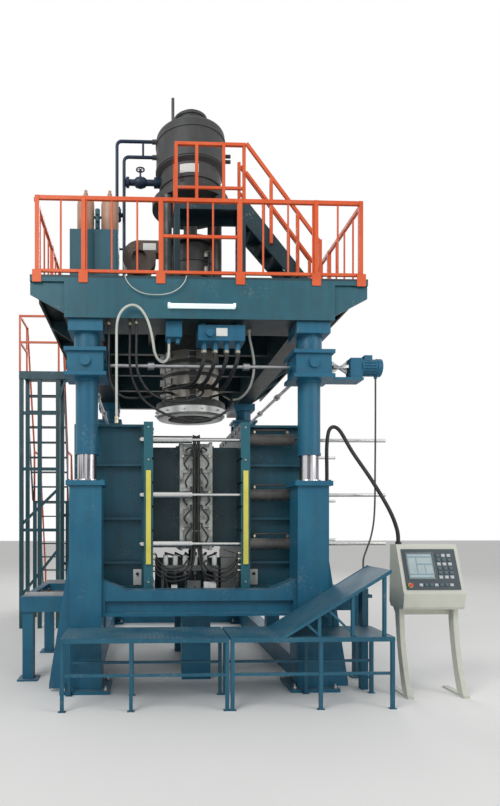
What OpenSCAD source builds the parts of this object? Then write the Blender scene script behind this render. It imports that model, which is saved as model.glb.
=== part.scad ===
// Accumulator-head blow moulding machine. Origin on the floor, midway between the four pillars.
// X runs to the right, Y to the rear and Z up, all in millimetres.

/* [Portal] */
// Distance across the machine between the pillar centres
pillar_span_x = 2800; // [2700:10:3100]
// Distance from the front to the rear pillar centres
pillar_span_y = 4800; // [4700:10:5400]
// Side of the square pillars
pillar_w = 390; // [360:5:420]
// Wall of the square pillars
pillar_wall = 25; // [12:1:40]
// Height of the pillars under their cap plates
pillar_h = 2520; // [2400:10:2600]
// Thickness of the cap plates
cap_t = 60; // [40:5:80]
// How far the cap plates stand proud of the pillars
cap_lip = 40; // [20:5:50]
// Side of the foot plates
foot_size = 600; // [560:10:700]
// Thickness of the foot plates
foot_t = 40; // [30:5:60]
// Radius of the anchor bolt holes
anchor_hole_r = 17; // [13:1:22]
// Distance of an anchor hole from the edges of its foot plate
anchor_inset = 50; // [40:5:60]
// Height of the floor sills
sill_h = 300; // [240:10:360]
// Width of the floor sills
sill_w = 250; // [200:10:300]
// Height of the side gussets on the front pillars
gusset_h = 1640; // [1200:10:1900]
// Reach of the side gussets at the floor
gusset_reach = 250; // [150:10:300]

/* [Cross beam] */
// Top of the front cross beam
cross_top = 1230; // [1180:5:1280]
// Height of the front cross beam
cross_h = 320; // [260:5:360]
// Depth of the front cross beam
cross_d = 260; // [200:5:280]

/* [Lift] */
// Radius of the polished guide columns
column_r = 120; // [105:1:125]
// Outer radius of the lift sleeves
sleeve_r = 140; // [135:1:150]
// Length of the lift sleeves below the gear housings
sleeve_len = 940; // [800:10:960]
// Side of the lift gear housings
collar_w = 510; // [460:10:540]
// Height of the lift gear housings
collar_h = 340; // [300:10:380]
// Height of the necks above the gear housings
neck_h = 210; // [180:10:240]
// Side of the jacks' top plates
jack_top_w = 420; // [380:10:460]
// Thickness of the jacks' top plates
jack_top_t = 140; // [100:10:160]
// How far the columns reach up into the gear housings
column_reach = 240; // [200:10:260]
// Travel of the platform below its rest height
lift_down = 280; // [200:10:300]
// Radius of the lift shafts
shaft_r = 24; // [18:1:30]

/* [Deck] */
// Underside of the front beam at rest
beam_z = 4540; // [4500:10:4640]
// Height of the front beam
beam_h = 510; // [460:10:560]
// Depth of the front beam, front to back
beam_d = 600; // [560:10:700]
// Width of the front beam
beam_w = 3300; // [3240:10:3400]
// How far the front beam stands ahead of the pillars
beam_lead = 55; // [40:5:100]
// Width of the deck floor
deck_w = 4120; // [4000:10:4200]
// Distance from the origin to the deck's rear edge
deck_rear = 3800; // [3700:10:4000]
// Thickness of the deck floor
floor_t = 30; // [20:2:40]
// Width of the deck's side beams
side_beam_w = 300; // [240:10:340]
// Height of the railing above the deck floor
rail_h = 960; // [900:10:1100]
// Side of the railing posts
post_w = 50; // [40:2:60]
// Radius of the balusters
baluster_r = 12; // [8:1:16]
// Balusters along the front of the railing
front_balusters = 13; // [9:1:17]
// Balusters along each side of the railing
side_balusters = 20; // [14:1:24]

/* [Clamp] */
// Distance of the head and clamp axis ahead of the origin
clamp_ahead = 1125; // [1100:5:1150]
// Distance from the parting plane to a platen
platen_in = 570; // [560:5:590]
// Thickness of the platens
platen_t = 120; // [100:5:120]
// Depth of the platens, front to back
platen_d = 2140; // [2130:5:2150]
// Underside of the platens and side frames
carriage_z = 1200; // [1195:1:1210]
// Top of the platens
platen_top = 3370; // [3330:10:3420]
// Depth of the side frames, front to back
side_frame_d = 1820; // [1800:5:1820]
// Outer face of the side frames from the parting plane
side_frame_out = 1600; // [1560:10:1640]
// Top of the side frames
side_frame_top = 3360; // [3300:10:3370]
// Plate thickness of the side frames
plate_t = 30; // [20:2:36]
// Thickness of a mould half
mould_t = 215; // [200:5:240]
// Depth of the mould halves, front to back
mould_d = 1850; // [1780:10:1860]
// Height of the mould halves
mould_h = 1430; // [1380:10:1440]
// Underside of the mould
mould_z = 1700; // [1690:5:1720]
// Depth of the moulded panel's cavity in each half
cavity_t = 60; // [40:2:80]
// Radius of the tie rods
rod_r = 24; // [20:1:26]
// Radius of the sleeves on the tie rods
rod_sleeve_r = 48; // [42:1:50]
// Radius of the clamp cylinders
clamp_cyl_r = 74; // [66:1:74]
// Length of the clamp cylinders
clamp_cyl_len = 585; // [500:5:600]
// Right end of the tie rods from the parting plane
rod_end = 2500; // [2400:10:2560]
// Distance of the tie rods from the clamp axis, front to back
rod_offset = 990; // [988:1:992]
// Top of the clamp bed
bed_top = 1100; // [1090:2:1105]
// Height of the slide rails
slide_rail_h = 50; // [40:2:60]
// Opening stroke of each carriage
stroke = 470; // [400:10:470]

/* [Head] */
// Radius of the head barrel
barrel_r = 505; // [490:5:520]
// Bottom of the head barrel
barrel_z = 6780; // [6700:10:6850]
// Height of the head barrel's straight wall
barrel_h = 920; // [880:5:960]
// Radius of the head barrel's narrower foot
barrel_foot_r = 445; // [435:5:460]
// Height of the head barrel's narrower foot
barrel_foot_h = 370; // [300:10:420]
// Radius of the head barrel's rounded shoulder
shoulder_r = 60; // [40:5:80]
// Radius of the head barrel's cap
cap_r = 235; // [210:5:240]
// Height of the head barrel's cap
cap_h = 300; // [260:5:320]
// Radius of the storage cylinder
storage_r = 370; // [350:5:390]
// Radius of the die ring
die_ring_r = 505; // [480:5:510]
// Inner radius of the die ring
die_r = 330; // [300:5:340]
// Width of the die gap
die_gap = 15; // [10:1:20]
// Underside of the die ring at rest
die_z = 3590; // [3550:10:3800]

/* [Extruder] */
// Height of the extruder axis above the deck floor
extruder_up = 620; // [600:10:680]
// Bore radius of the extruder barrel
screw_bore_r = 81; // [70:1:90]
// Wall of the extruder barrel
extruder_wall = 50; // [40:2:60]
// Length of the extruder barrel from the head to the feed block
extruder_len = 1900; // [1800:10:2000]
// Half the length of the feed block
feed_half = 210; // [200:5:230]
// Radius of the hopper
hopper_r = 380; // [340:5:400]
// Heater bands on the extruder barrel
heater_bands = 6; // [4:1:8]

/* [Upper platform] */
// Height of the upper platform above the deck floor
platform_up = 1270; // [1200:10:1320]
// Left and right ends of the upper platform from the machine's centre
platform_x = [-286, 650]; // [-300:5:700]
// Depth of the upper platform
platform_d = 440; // [400:10:450]
// Foot of the upper stair from the machine's centre
stair_foot = 1680; // [1600:10:1800]

/* [Step and chute] */
// Top of the work steps
step_top = 800; // [760:10:840]
// Depth of the work steps
step_d = 700; // [600:10:760]
// Left end of the work steps from the machine's centre
step_left = 1600; // [1500:10:1700]
// Right end of the work steps from the machine's centre
step_right = 2090; // [2000:10:2100]
// Side of the work steps' legs
leg_w = 40; // [30:2:50]
// Lower end of the chute from the machine's centre
chute_x = 820; // [700:10:900]
// Top of the chute
chute_top = 1540; // [1450:10:1600]

/* [Console] */
// Left side of the console from the machine's centre
console_x = 2390; // [2360:10:2450]
// Width of the console
console_w = 745; // [700:5:800]
// Height of the console
console_h = 1800; // [1760:10:1840]
// Underside of the console housing
console_z = 1030; // [1000:10:1060]
// Lean of the control panel from upright
panel_lean = 20; // [16:1:24]

/* [Stair] */
// Width of the access stair
stair_w = 790; // [700:10:860]
// Left side of the access stair from the machine's centre
stair_left = 3130; // [3080:10:3200]
// Front of the upper landing behind the origin
landing_y = 1700; // [1600:10:1800]
// Depth of the landings
landing_d = 700; // [600:10:800]
// Top of the lower landing
low_landing_z = 2560; // [2400:10:2700]
// Slope of the access stair's flights
stair_slope = 74; // [70:1:76]
// Treads in each flight of the access stair
stair_treads = 7; // [6:1:9]

/* [Hidden] */
$fn = 48;
// Clearance between pieces that slide or turn in each other
running_gap = 0.3;
pillar_x = pillar_span_x / 2;
pillar_y = pillar_span_y / 2;
cap_top = pillar_h + cap_t;
gear_z = beam_z - jack_top_t - neck_h - collar_h;
column_top = gear_z + column_reach;
sleeve_z = gear_z - sleeve_len;
shaft_z = gear_z + collar_h * 0.53;
shaft_seat = 60;
beam_front = -(pillar_y + pillar_w / 2 + beam_lead);
beam_back = beam_front + beam_d;
deck_z = beam_z + beam_h;
wing_out = deck_w / 2;
clamp_y = -clamp_ahead;
platen_out = platen_in + platen_t;
rod_levels = [1790, 2430, 3150];
rod_sides = [-1, 1];
rib_levels = [1540, 2120, 2825];
rail_y = [clamp_y - 825, clamp_y + 825];
bed_half = 2300;
bed_beam_w = 200;
drive_z = 1000;
block_x = [platen_out + 140, side_frame_out - 140];
extruder_z = deck_z + extruder_up;
platform_z = deck_z + platform_up;
platform_y = [clamp_y - barrel_r - 30 - platform_d, clamp_y - barrel_r - 30];
flange_r = storage_r + 205;
// Clearance under parts set on a slanted or turned face
seat_gap = 0.1;
// Split between lengths that are bolted together
split = 0.5;
stroke_rod_r = 22;
stroke_rod_at = [-270, -200];
port_left_z = [barrel_z + barrel_h - 10, barrel_z + barrel_h - 240];
port_right_z = [barrel_z + barrel_h - 280, barrel_z + barrel_h - 200];
foot_front = -(pillar_y + foot_size / 2);
feed_y = clamp_y + storage_r + extruder_len;
hopper_z = extruder_z + 190;
hopper_top = hopper_z + 900;
cabinet_top = deck_z + 670;
bottle_x = [630 - wing_out, 935 - wing_out];
console_y = -2700;
panel_w = console_w - 90;
panel_slope = [-panel_lean, 0, 0];
conduit_r = 24;
conduit_x = pillar_x + pillar_w / 2 + 67;
conduit_y = 100 - pillar_y;
conduit_route = [[conduit_x, conduit_y, 2200], [conduit_x, conduit_y, 2700], [conduit_x, conduit_y, 3060],
    [conduit_x + 38, conduit_y - 5, 3270], [conduit_x + 148, conduit_y - 20, 3260], [conduit_x + 288, -2420, 2960],
    [console_x - 240, -2560, 2580], [console_x - 60, console_y + 60, 2220],
    [console_x + 30, console_y + 50, console_h + 180], [console_x + 50, console_y + 60, console_h + 30]];
motor_cable_r = 11;
motor_route = [[2254, -2400, shaft_z - 135.3], [2254, -2400, 3500], [2252, -2402, 3100], [2246, -2408, 2700],
    [2238, -2422, 2350], [2212, -2448, 2080], [2160, -2482, 1880], [2096, -2518, 1740], [2052, -2542, 1640],
    [2040, -2545, 1560], [2040, -2545, 1300], [2040, -2545, 900], [2040, -2545, 500]];
signal_cable_r = 6;
signal_route = [[-920, -2560, 5057], [-920, -2636, 5061], [-914, -2675, 5034], [-890, -2682, 4970],
    [-820, -2684, 4890], [-700, -2684, 4830], [-545, -2684, 4812], [-390, -2684, 4830], [-270, -2684, 4890],
    [-200, -2682, 4970], [-176, -2675, 5034], [-170, -2636, 5061], [-170, -2560, 5057]];
air_hose_r = 16;
air_route = [[-380, -2500, 4279], [-380, -2500, 4200], [-390, -2515, 4115], [-425, -2555, 4050],
    [-475, -2612, 4025], [-525, -2670, 4050], [-560, -2710, 4115], [-575, -2725, 4200], [-590, -2725, 4290],
    [-610, -2725, 4380], [-637, -2725, 4468], [-675, -2725, 4550], [-725, -2725, 4620], [-790, -2725, 4662],
    [-860, -2725, 4662], [-925, -2725, 4625], [-975, -2725, 4560], [-1003, -2725, 4480], [-1013, -2725, 4395],
    [-1015, -2725, 4305], [-1015, -2725, 4200], [-1015, -2725, 3900], [-1015, -2725, 3600],
    [-1015, -2725, 3340]];

// A block between two corners given as ranges along X, Y and Z
module block(x, y, z) {
    translate([x[0], y[0], z[0]]) cube([x[1] - x[0], y[1] - y[0], z[1] - z[0]]);
}

// A block of a given size, centred on a point in X and Y, between two heights
module stand(at, w, d, z) {
    block([at[0] - w / 2, at[0] + w / 2], [at[1] - d / 2, at[1] + d / 2], z);
}

// Round bars along each direction, between two ends
module bar_z(r, at, z) {
    translate([at[0], at[1], z[0]]) cylinder(h = z[1] - z[0], r = r);
}
module bar_x(r, x, y, z) {
    translate([x[0], y, z]) rotate([0, 90, 0]) cylinder(h = x[1] - x[0], r = r);
}
module bar_y(r, x, y, z) {
    translate([x, y[0], z]) rotate([-90, 0, 0]) cylinder(h = y[1] - y[0], r = r);
}

// A profile in X and Z, carried from one Y to another
module profile_xz(points, y) {
    translate([0, y[1], 0]) rotate([90, 0, 0]) linear_extrude(y[1] - y[0]) polygon(points);
}

// A profile in Y and Z, carried from one X to another
module profile_yz(points, x) {
    translate([x[0], 0, 0]) rotate([90, 0, 90]) linear_extrude(x[1] - x[0]) polygon(points);
}

// Outline of a straight bar between two points, from its lower edge up
function bar_outline(from, to, w) =
    let (along = (to - from) / norm(to - from), up = [-along[1], along[0]] * w) [from, to, to + up, from + up];

// Slanted bars in planes of constant Y and of constant X, between two points
module slant_x(from, to, w, y) {
    profile_xz(bar_outline(from, to, w), [y[0] + 2, y[1] - 2]);
}
module slant_y(from, to, w, x) {
    profile_yz(bar_outline(from, to, w), [x[0] + 2, x[1] - 2]);
}

// A copy on the right for 1 and on the left for -1
module flip_x(side) {
    mirror([side < 0 ? 1 : 0, 0, 0]) children();
}

// Left and right copies
module both_sides() {
    children();
    mirror([1, 0, 0]) children();
}

// Foot plates, side sills and rear sill, with four anchor holes in each foot plate
module base_frame() {
    hole = foot_size / 2 - anchor_inset;
    color("steelblue") difference() {
        union() {
            for (x = [-pillar_x, pillar_x], y = [-pillar_y, pillar_y])
                stand([x, y], foot_size, foot_size, [0, foot_t]);
            for (x = [-pillar_x, pillar_x])
                stand([x, 0], sill_w, pillar_span_y - pillar_w, [0, sill_h]);
            stand([0, pillar_y], pillar_span_x - pillar_w, sill_w, [0, sill_h]);
        }
        for (x = [-pillar_x, pillar_x], y = [-pillar_y, pillar_y], i = [-hole, hole], j = [-hole, hole])
            translate([x + i, y + j, -1]) cylinder(h = foot_t + 2, r = anchor_hole_r);
    }
}

// One square pillar with its cap plate, bored for the guide column
module pillar() {
    inner = pillar_w - 2 * pillar_wall;
    difference() {
        union() {
            stand([0, 0], pillar_w, pillar_w, [foot_t, pillar_h]);
            stand([0, 0], pillar_w + 2 * cap_lip, pillar_w + 2 * cap_lip, [pillar_h, cap_top]);
        }
        stand([0, 0], inner, inner, [foot_t - 1, pillar_h - 60]);
        translate([0, 0, pillar_h - 61]) cylinder(h = cap_t + 62, r = column_r + running_gap);
    }
}

// Front pillars with their outer gussets and cap bolts
module front_pillars() {
    color("steelblue") for (side = [-1, 1]) translate([side * pillar_x, -pillar_y, 0]) {
        pillar();
        foot = pillar_w / 2;
        flip_x(side) profile_xz([[foot, foot_t], [foot + gusset_reach, foot_t],
            [foot + gusset_reach, foot_t + 60], [foot, foot_t + gusset_h]], [-foot + 40, -foot + 80]);
        for (i = [-1, 1], j = [-1, 1])
            translate([i * (foot + 8), j * (foot + 8), cap_top]) cylinder(h = 14, r = 15, $fn = 6);
    }
}
module rear_pillars() {
    color("steelblue") for (side = [-1, 1]) translate([side * pillar_x, pillar_y, 0]) {
        pillar();
        for (i = [-1, 1], j = [-1, 1])
            translate([i * (pillar_w / 2 + 8), j * (pillar_w / 2 + 8), cap_top])
                cylinder(h = 14, r = 15, $fn = 6);
    }
}

// Polished guide columns, seated on a shoulder ring inside each pillar
module guide_columns() {
    bottom = pillar_h - 400;
    color("silver") for (x = [-pillar_x, pillar_x], y = [-pillar_y, pillar_y]) {
        bar_z(column_r, [x, y], [bottom, column_top - 8]);
        translate([x, y, column_top - 8]) cylinder(h = 8, r1 = column_r, r2 = column_r - 8);
        stand([x, y], pillar_w - 2 * pillar_wall, pillar_w - 2 * pillar_wall, [bottom - 40, bottom]);
        translate([x, y, cap_top]) rotate_extrude()
            polygon([[column_r, 0], [column_r + 34, 0], [column_r + 30, 22], [column_r, 22]]);
    }
}

// Front cross beam with a gusset at each end and stiffeners on its front
module front_cross_beam() {
    edge = pillar_x - pillar_w / 2;
    y = [-pillar_y - cross_d / 2, -pillar_y + cross_d / 2];
    color("steelblue") {
        difference() {
            block([-edge, edge], y, [cross_top - cross_h, cross_top]);
            block([-edge + 40, edge - 40], [y[0] - 1, y[0] + 60], [cross_top - cross_h + 40, cross_top - 130]);
        }
        both_sides() profile_xz([[edge - 300, cross_top], [edge, cross_top], [edge, cross_top + 130]], y);
    }
}

// Clamp bed: two beams across the machine, legs, a centre pedestal and cross members
module clamp_bed() {
    low = bed_top - 200;
    inner = [rail_y[0] + bed_beam_w / 2, rail_y[1] - bed_beam_w / 2];
    color("steelblue") {
        for (y = rail_y) {
            stand([0, y], 2 * bed_half, bed_beam_w, [low, bed_top]);
            for (x = [-pillar_x, pillar_x]) stand([x, y], 200, bed_beam_w, [sill_h, low]);
            for (x = [-bed_half + 90, bed_half - 90]) {
                stand([x, y], 140, 140, [20, low]);
                stand([x, y], 260, 260, [0, 20]);
            }
            stand([0, y], 380, bed_beam_w, [0, low]);
        }
        both_sides() {
            block([bed_half - 100, bed_half], inner, [low, bed_top]);
            block([400, 500], inner, [low, bed_top]);
        }
    }
}

// Slide rails along the bed, one pair for each carriage, with their fixing screws
module slide_rails() {
    color("silver") both_sides() for (y = rail_y) {
        stand([(platen_out + bed_half) / 2 - 20, y], bed_half - platen_out - 60, 60, [bed_top, bed_top + 18]);
        stand([(platen_out + bed_half) / 2 - 20, y], bed_half - platen_out - 60, 44,
            [bed_top + 18, bed_top + slide_rail_h]);
    }
}

// Hydraulic cylinders that open and close the carriages
module drive_cylinders() {
    outer = bed_half - 100;
    inner = side_frame_out - 250;
    color("dimgray") both_sides() difference() {
        union() {
            bar_x(70, [inner, outer], clamp_y, drive_z);
            for (x = [inner, outer - 30]) bar_x(88, [x, x + 30], clamp_y, drive_z);
            for (x = [inner + 90, outer - 120]) bar_z(22, [x, clamp_y], [drive_z + 60, drive_z + 100]);
        }
        bar_x(35 + running_gap, [inner - 1, outer - 70], clamp_y, drive_z);
    }
}

// One slide block: a saddle that rides on a rail
module slide_block(at) {
    top = bed_top + slide_rail_h;
    difference() {
        stand(at, 170, 120, [bed_top + 6, carriage_z]);
        stand(at, 172, 60 + 2 * running_gap, [bed_top, bed_top + 18 + running_gap]);
        stand(at, 172, 44 + 2 * running_gap, [bed_top, top]);
    }
}

// Ribbed side frame of the right carriage, with its slide blocks and the drive lug
module side_frame() {
    x = [platen_out, side_frame_out];
    y = [clamp_y - side_frame_d / 2, clamp_y + side_frame_d / 2];
    levels = concat([carriage_z + plate_t / 2], rib_levels, [side_frame_top - plate_t / 2]);
    web = 90;
    difference() {
        union() {
            for (z = levels) block(x, y, [z - plate_t / 2, z + plate_t / 2]);
            for (face = x) block([face - (face == x[1] ? plate_t : 0), face + (face == x[0] ? plate_t : 0)],
                y, [carriage_z, side_frame_top]);
            for (face = [y[0] + web, y[1] - web - plate_t])
                block(x, [face, face + plate_t], [carriage_z, side_frame_top]);
        }
        for (i = [0 : len(levels) - 2]) {
            middle = (levels[i] + levels[i + 1]) / 2;
            bar_x(150, [x[1] - plate_t - 1, x[1] + 1], clamp_y - 420, middle);
            bar_x(150, [x[1] - plate_t - 1, x[1] + 1], clamp_y + 420, middle);
        }
    }
    for (at_x = block_x, at_y = rail_y) slide_block([at_x, at_y]);
    for (side = [-1, 1]) block([platen_out, platen_out + 60], [clamp_y + side * 90 - 20, clamp_y + side * 90 + 20],
        [drive_z - 60, carriage_z]);
}
module side_frame_right() { color("steelblue") side_frame(); }
module side_frame_left() { color("steelblue") mirror([1, 0, 0]) side_frame(); }

// Platen with its ribbed mould spacer and the six bores for the tie rods
module platen() {
    y = [clamp_y - platen_d / 2, clamp_y + platen_d / 2];
    spacer = [clamp_y - mould_d / 2 + 175, clamp_y + mould_d / 2 - 175];
    top = mould_z + mould_h;
    difference() {
        union() {
            block([platen_in, platen_out], y, [carriage_z, platen_top]);
            for (z = [mould_z + 50, mould_z + mould_h / 2 - 30, top - 110])
                block([mould_t + 40, platen_in], spacer, [z, z + 60]);
            for (face = [spacer[0], clamp_y - 30, spacer[1] - 60])
                block([mould_t + 40, platen_in], [face, face + 60], [mould_z + 50, top - 50]);
            block([mould_t, mould_t + 40], spacer, [mould_z + 30, top - 30]);
        }
        for (z = rod_levels, side = rod_sides)
            bar_x(rod_r + running_gap, [platen_in - 1, platen_out + 1], clamp_y + side * rod_offset, z);
        for (z = [mould_z - 60 : 310 : top]) block([platen_in - 1, platen_in + 16], y + [-1, 1], [z, z + 28]);
    }
}
module platen_right() { color("darkslategray") platen(); }
module platen_left() { color("darkslategray") mirror([1, 0, 0]) platen(); }

// Mould half: a ribbed block with the cavity of a rounded tray and half of the neck bore
module mould_half() {
    y = [clamp_y - mould_d / 2, clamp_y + mould_d / 2];
    top = mould_z + mould_h;
    levels = [for (i = [0.5 : 5.5]) mould_z + i * mould_h / 6];
    difference() {
        union() {
            block([mould_t - 40, mould_t], y, [mould_z, top]);
            block([0, mould_t - 39], y + [25, -25], [mould_z + 20, top - 20]);
            for (level = levels) for (face = [y[0], y[1] - 26])
                block([30, mould_t - 39], [face, face + 26], [level - 48, level + 48]);
        }
        translate([-1, clamp_y, mould_z + mould_h / 2]) rotate([90, 0, 90])
            linear_extrude(cavity_t + 1) offset(r = 80) square([mould_d - 510, mould_h - 460], center = true);
        translate([0, clamp_y, mould_z - 1]) cylinder(h = 160, r = 42);
        translate([0, y[0] + 24, mould_z]) rotate([0, 0, 45])
            translate([-7, -7, -1]) cube([14, 14, mould_h + 2]);
    }
    for (level = levels) for (x = [70, 130]) bar_y(9, x, [y[0] - 16, y[0] + 5], level);
}
module mould_half_right() { color("silver") mould_half(); }
module mould_half_left() { color("silver") mirror([1, 0, 0]) mould_half(); }

// Yellow safety bar on a platen's front edge, with its two end brackets
module safety_bar() {
    x = (platen_in + platen_out) / 2;
    y = clamp_y - platen_d / 2;
    block([x - 32, x + 32], [y - 30, y - 12], [1530, 2740]);
    for (z = [1560, 2650]) block([x - 20, x + 20], [y - 12, y], [z, z + 60]);
}
module safety_bar_right() { color("gold") safety_bar(); }
module safety_bar_left() { color("gold") mirror([1, 0, 0]) safety_bar(); }

// Tie rods with their nuts on the left platen and their thick sleeves in front of the mould
module tie_rods() {
    color("gainsboro") for (z = rod_levels, side = rod_sides) {
        y = clamp_y + side * rod_offset;
        bar_x(rod_r, [-platen_out - 52, rod_end], y, z);
        bar_x(rod_sleeve_r, [-platen_in, -60], y, z);
        translate([-platen_out - 40, y, z]) rotate([0, 90, 0]) cylinder(h = 40, r = 46, $fn = 6);
    }
}

// Clamp cylinders on the right platen, bored for the tie rods
module clamp_cylinders() {
    far = platen_out + clamp_cyl_len;
    color("dimgray") for (z = rod_levels, side = rod_sides) {
        y = clamp_y + side * rod_offset;
        difference() {
            union() {
                bar_x(clamp_cyl_r, [platen_out, far], y, z);
                for (x = [platen_out, far - 36]) bar_x(clamp_cyl_r + 4, [x, x + 36], y, z);
                for (x = [platen_out + 70, far - 80]) bar_z(16, [x, y], [z + clamp_cyl_r - 8, z + clamp_cyl_r + 34]);
            }
            bar_x(rod_r + running_gap, [platen_out - 1, far + 1], y, z);
        }
    }
}

// Rod of a drive cylinder, pinned between the lugs of its carriage
module drive_rod() {
    inner = side_frame_out - 250;
    bar_x(35, [platen_out + 60, inner + 150], clamp_y, drive_z);
    stand([platen_out + 40, clamp_y], 70, 140 - 2 * running_gap, [drive_z - 40, drive_z + 40]);
}
module drive_rod_right() { color("silver") drive_rod(); }
module drive_rod_left() { color("silver") mirror([1, 0, 0]) drive_rod(); }

// Blow unit under the mould: base plate, pin housing, manifold with air cylinders and a valve cabinet
module blow_unit() {
    front = rail_y[0] - 60;
    color("gray") {
        difference() {
            union() {
                block([-platen_in + 20, platen_in - 20], [rail_y[0] - 100, rail_y[1] + 100], [bed_top, bed_top + 30]);
                bar_z(95, [0, clamp_y], [bed_top + 30, mould_z - 160]);
                bar_z(130, [0, clamp_y], [bed_top + 30, bed_top + 60]);
            }
            translate([0, clamp_y, bed_top + 60]) cylinder(h = mould_z, r = 30 + running_gap);
        }
        block([-460, 300], [front, front + 60], [1430, 1500]);
        for (x = [-460, 260]) block([x, x + 40], [front, front + 60], [bed_top + 30, 1430]);
        for (i = [0 : 5]) {
            bar_z(30, [-400 + i * 130, front + 30], [1500, 1640]);
            bar_z(22, [-400 + i * 130, front + 30], [1380, 1430]);
        }
        block([-120, 60], [front - 40, front + 60], [bed_top + 30, 1300]);
        block([330, 520], [front - 40, front + 200], [bed_top + 30, 1600]);
    }
}
module blow_pin() {
    color("silver") {
        bar_z(30, [0, clamp_y], [bed_top + 140, mould_z - 40]);
        translate([0, clamp_y, mould_z - 40]) cylinder(h = 24, r1 = 30, r2 = 16);
    }
}

// Front box beam with tapered wings and stiffening ribs on its front
module front_beam() {
    half = beam_w / 2;
    color("steelblue") {
        block([-half, half], [beam_front, beam_back], [beam_z, deck_z - floor_t]);
        both_sides() {
            profile_xz([[half, beam_z + 60], [wing_out, deck_z - floor_t - 200], [wing_out, deck_z - floor_t - 50],
                [half, deck_z - floor_t - 50]], [beam_front + 25, beam_front + 55]);
            block([half, wing_out], [beam_front, beam_back], [deck_z - floor_t - 50, deck_z - floor_t]);
        }
    }
}

// Deck frame: side beams, cross members round the head, rear beam, wing brackets and floor
module deck_frame() {
    out = pillar_x + side_beam_w / 2;
    inner = pillar_x - side_beam_w / 2;
    under = deck_z - floor_t;
    head_hole = storage_r + 55;
    color("steelblue") {
        difference() {
            block([-wing_out, wing_out], [beam_front, deck_rear], [under, deck_z]);
            bar_z(head_hole, [0, clamp_y], [under - 1, deck_z + 1]);
        }
        both_sides() {
            block([inner, out], [beam_back, deck_rear], [beam_z, under]);
            for (y = [beam_back + 900 : 1000 : deck_rear - 200])
                profile_xz([[out, under], [wing_out, under], [wing_out, under - 90], [out, beam_z + 60]],
                    [y, y + 30]);
            block([wing_out - 30, wing_out], [beam_back, deck_rear], [under - 90, under]);
        }
        for (y = [clamp_y - 640, clamp_y + 540, 700, 1900])
            block([-inner, inner], [y, y + 100], [under - 300, under]);
        block([-inner, inner], [deck_rear - 150, deck_rear], [under - 300, under]);
        both_sides() block([520, 620], [clamp_y - 540, clamp_y + 540], [under - 200, under]);
    }
}

// Lift jacks: sleeve, flanged gear housing, neck and top plate, bored for the guide column
module lift_jack(out_x, out_y) {
    half = collar_w / 2;
    difference() {
        union() {
            bar_z(sleeve_r, [0, 0], [sleeve_z, gear_z]);
            bar_z(sleeve_r + 14, [0, 0], [gear_z - 40, gear_z]);
            bar_z(sleeve_r + 8, [0, 0], [sleeve_z, sleeve_z + 30]);
            stand([0, 0], collar_w, collar_w, [gear_z, gear_z + 45]);
            stand([0, 0], collar_w - 70, collar_w - 70, [gear_z + 45, gear_z + collar_h - 45]);
            stand([0, 0], collar_w, collar_w, [gear_z + collar_h - 45, gear_z + collar_h]);
            bar_z(collar_w * 0.31, [0, 0], [gear_z + collar_h, gear_z + collar_h + neck_h]);
            stand([0, 0], jack_top_w, jack_top_w, [beam_z - jack_top_t, beam_z]);
            bar_x(62, [-half, half], 0, shaft_z);
            bar_y(62, 0, [-half, half], shaft_z);
        }
        bar_z(column_r + running_gap, [0, 0], [sleeve_z - 1, column_top + lift_down + 15]);
        for (side = out_x) translate([0, 0, shaft_z]) rotate([0, side * 90, 0])
            translate([0, 0, half - shaft_seat]) cylinder(h = shaft_seat + 1, r = shaft_r + running_gap);
        translate([0, 0, shaft_z]) rotate([-out_y * 90, 0, 0])
            translate([0, 0, half - shaft_seat]) cylinder(h = shaft_seat + 1, r = shaft_r + running_gap);
    }
}
module lift_jacks() {
    color("steelblue") for (side = [-1, 1]) {
        translate([side * pillar_x, -pillar_y, 0]) lift_jack(side > 0 ? [-1, 1] : [1], 1);
        translate([side * pillar_x, pillar_y, 0]) lift_jack([], -1);
    }
}

// Lift gearmotor on its bracket at the right front jack
module lift_gearmotor() {
    from = pillar_x + collar_w / 2;
    x = [from + 250, from + 655];
    color("steelblue") {
        block([from, from + 400], [-pillar_y - 130, -pillar_y + 130], [shaft_z - 180, shaft_z - 150]);
        block([x[0], x[0] + 150], [-pillar_y - 90, -pillar_y + 90], [shaft_z - 150, shaft_z + 105]);
        difference() {
            bar_x(106, [x[0] + 150, x[1] - 60], -pillar_y, shaft_z);
            for (i = [0 : 17]) translate([x[0] + 170, -pillar_y, shaft_z]) rotate([i * 20, 0, 0])
                translate([0, 94, -5]) cube([150, 20, 10]);
        }
        bar_x(112, [x[1] - 60, x[1]], -pillar_y, shaft_z);
        block([x[0] + 190, x[0] + 290], [-pillar_y - 50, -pillar_y + 50], [shaft_z + 90, shaft_z + 150]);
        bar_z(20, [x[1] - 56, -pillar_y], [shaft_z - 135, shaft_z - 100]);
    }
}

// Front cross shaft between the jacks, and the cross coupling to the gearmotor
module front_shaft() {
    from = pillar_x + collar_w / 2;
    seat = pillar_x - collar_w / 2 + shaft_seat - 2;
    color("silver") {
        bar_x(shaft_r, [-seat, seat], -pillar_y, shaft_z);
        for (x = [-640, 560]) bar_x(shaft_r + 22, [x, x + 80], -pillar_y, shaft_z);
        bar_x(shaft_r, [from - shaft_seat + 2, from + 250], -pillar_y, shaft_z);
        for (turn = [0, 90]) translate([from + 130, -pillar_y, shaft_z]) rotate([turn, 0, 0]) {
            for (side = [-1, 1]) flip_x(side) translate([0, -18, 0])
                profile_xz([[0, -16], [0, 16], [95, 78], [95, -78]], [0, 36]);
        }
    }
}
module side_shaft(x) {
    seat = pillar_y - collar_w / 2 + shaft_seat - 2;
    color("silver") {
        bar_y(shaft_r, x, [-seat, seat], shaft_z);
        for (y = [-700, 620]) bar_y(shaft_r + 22, x, [y, y + 80], shaft_z);
    }
}
module side_shaft_left() { side_shaft(-pillar_x); }
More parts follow.
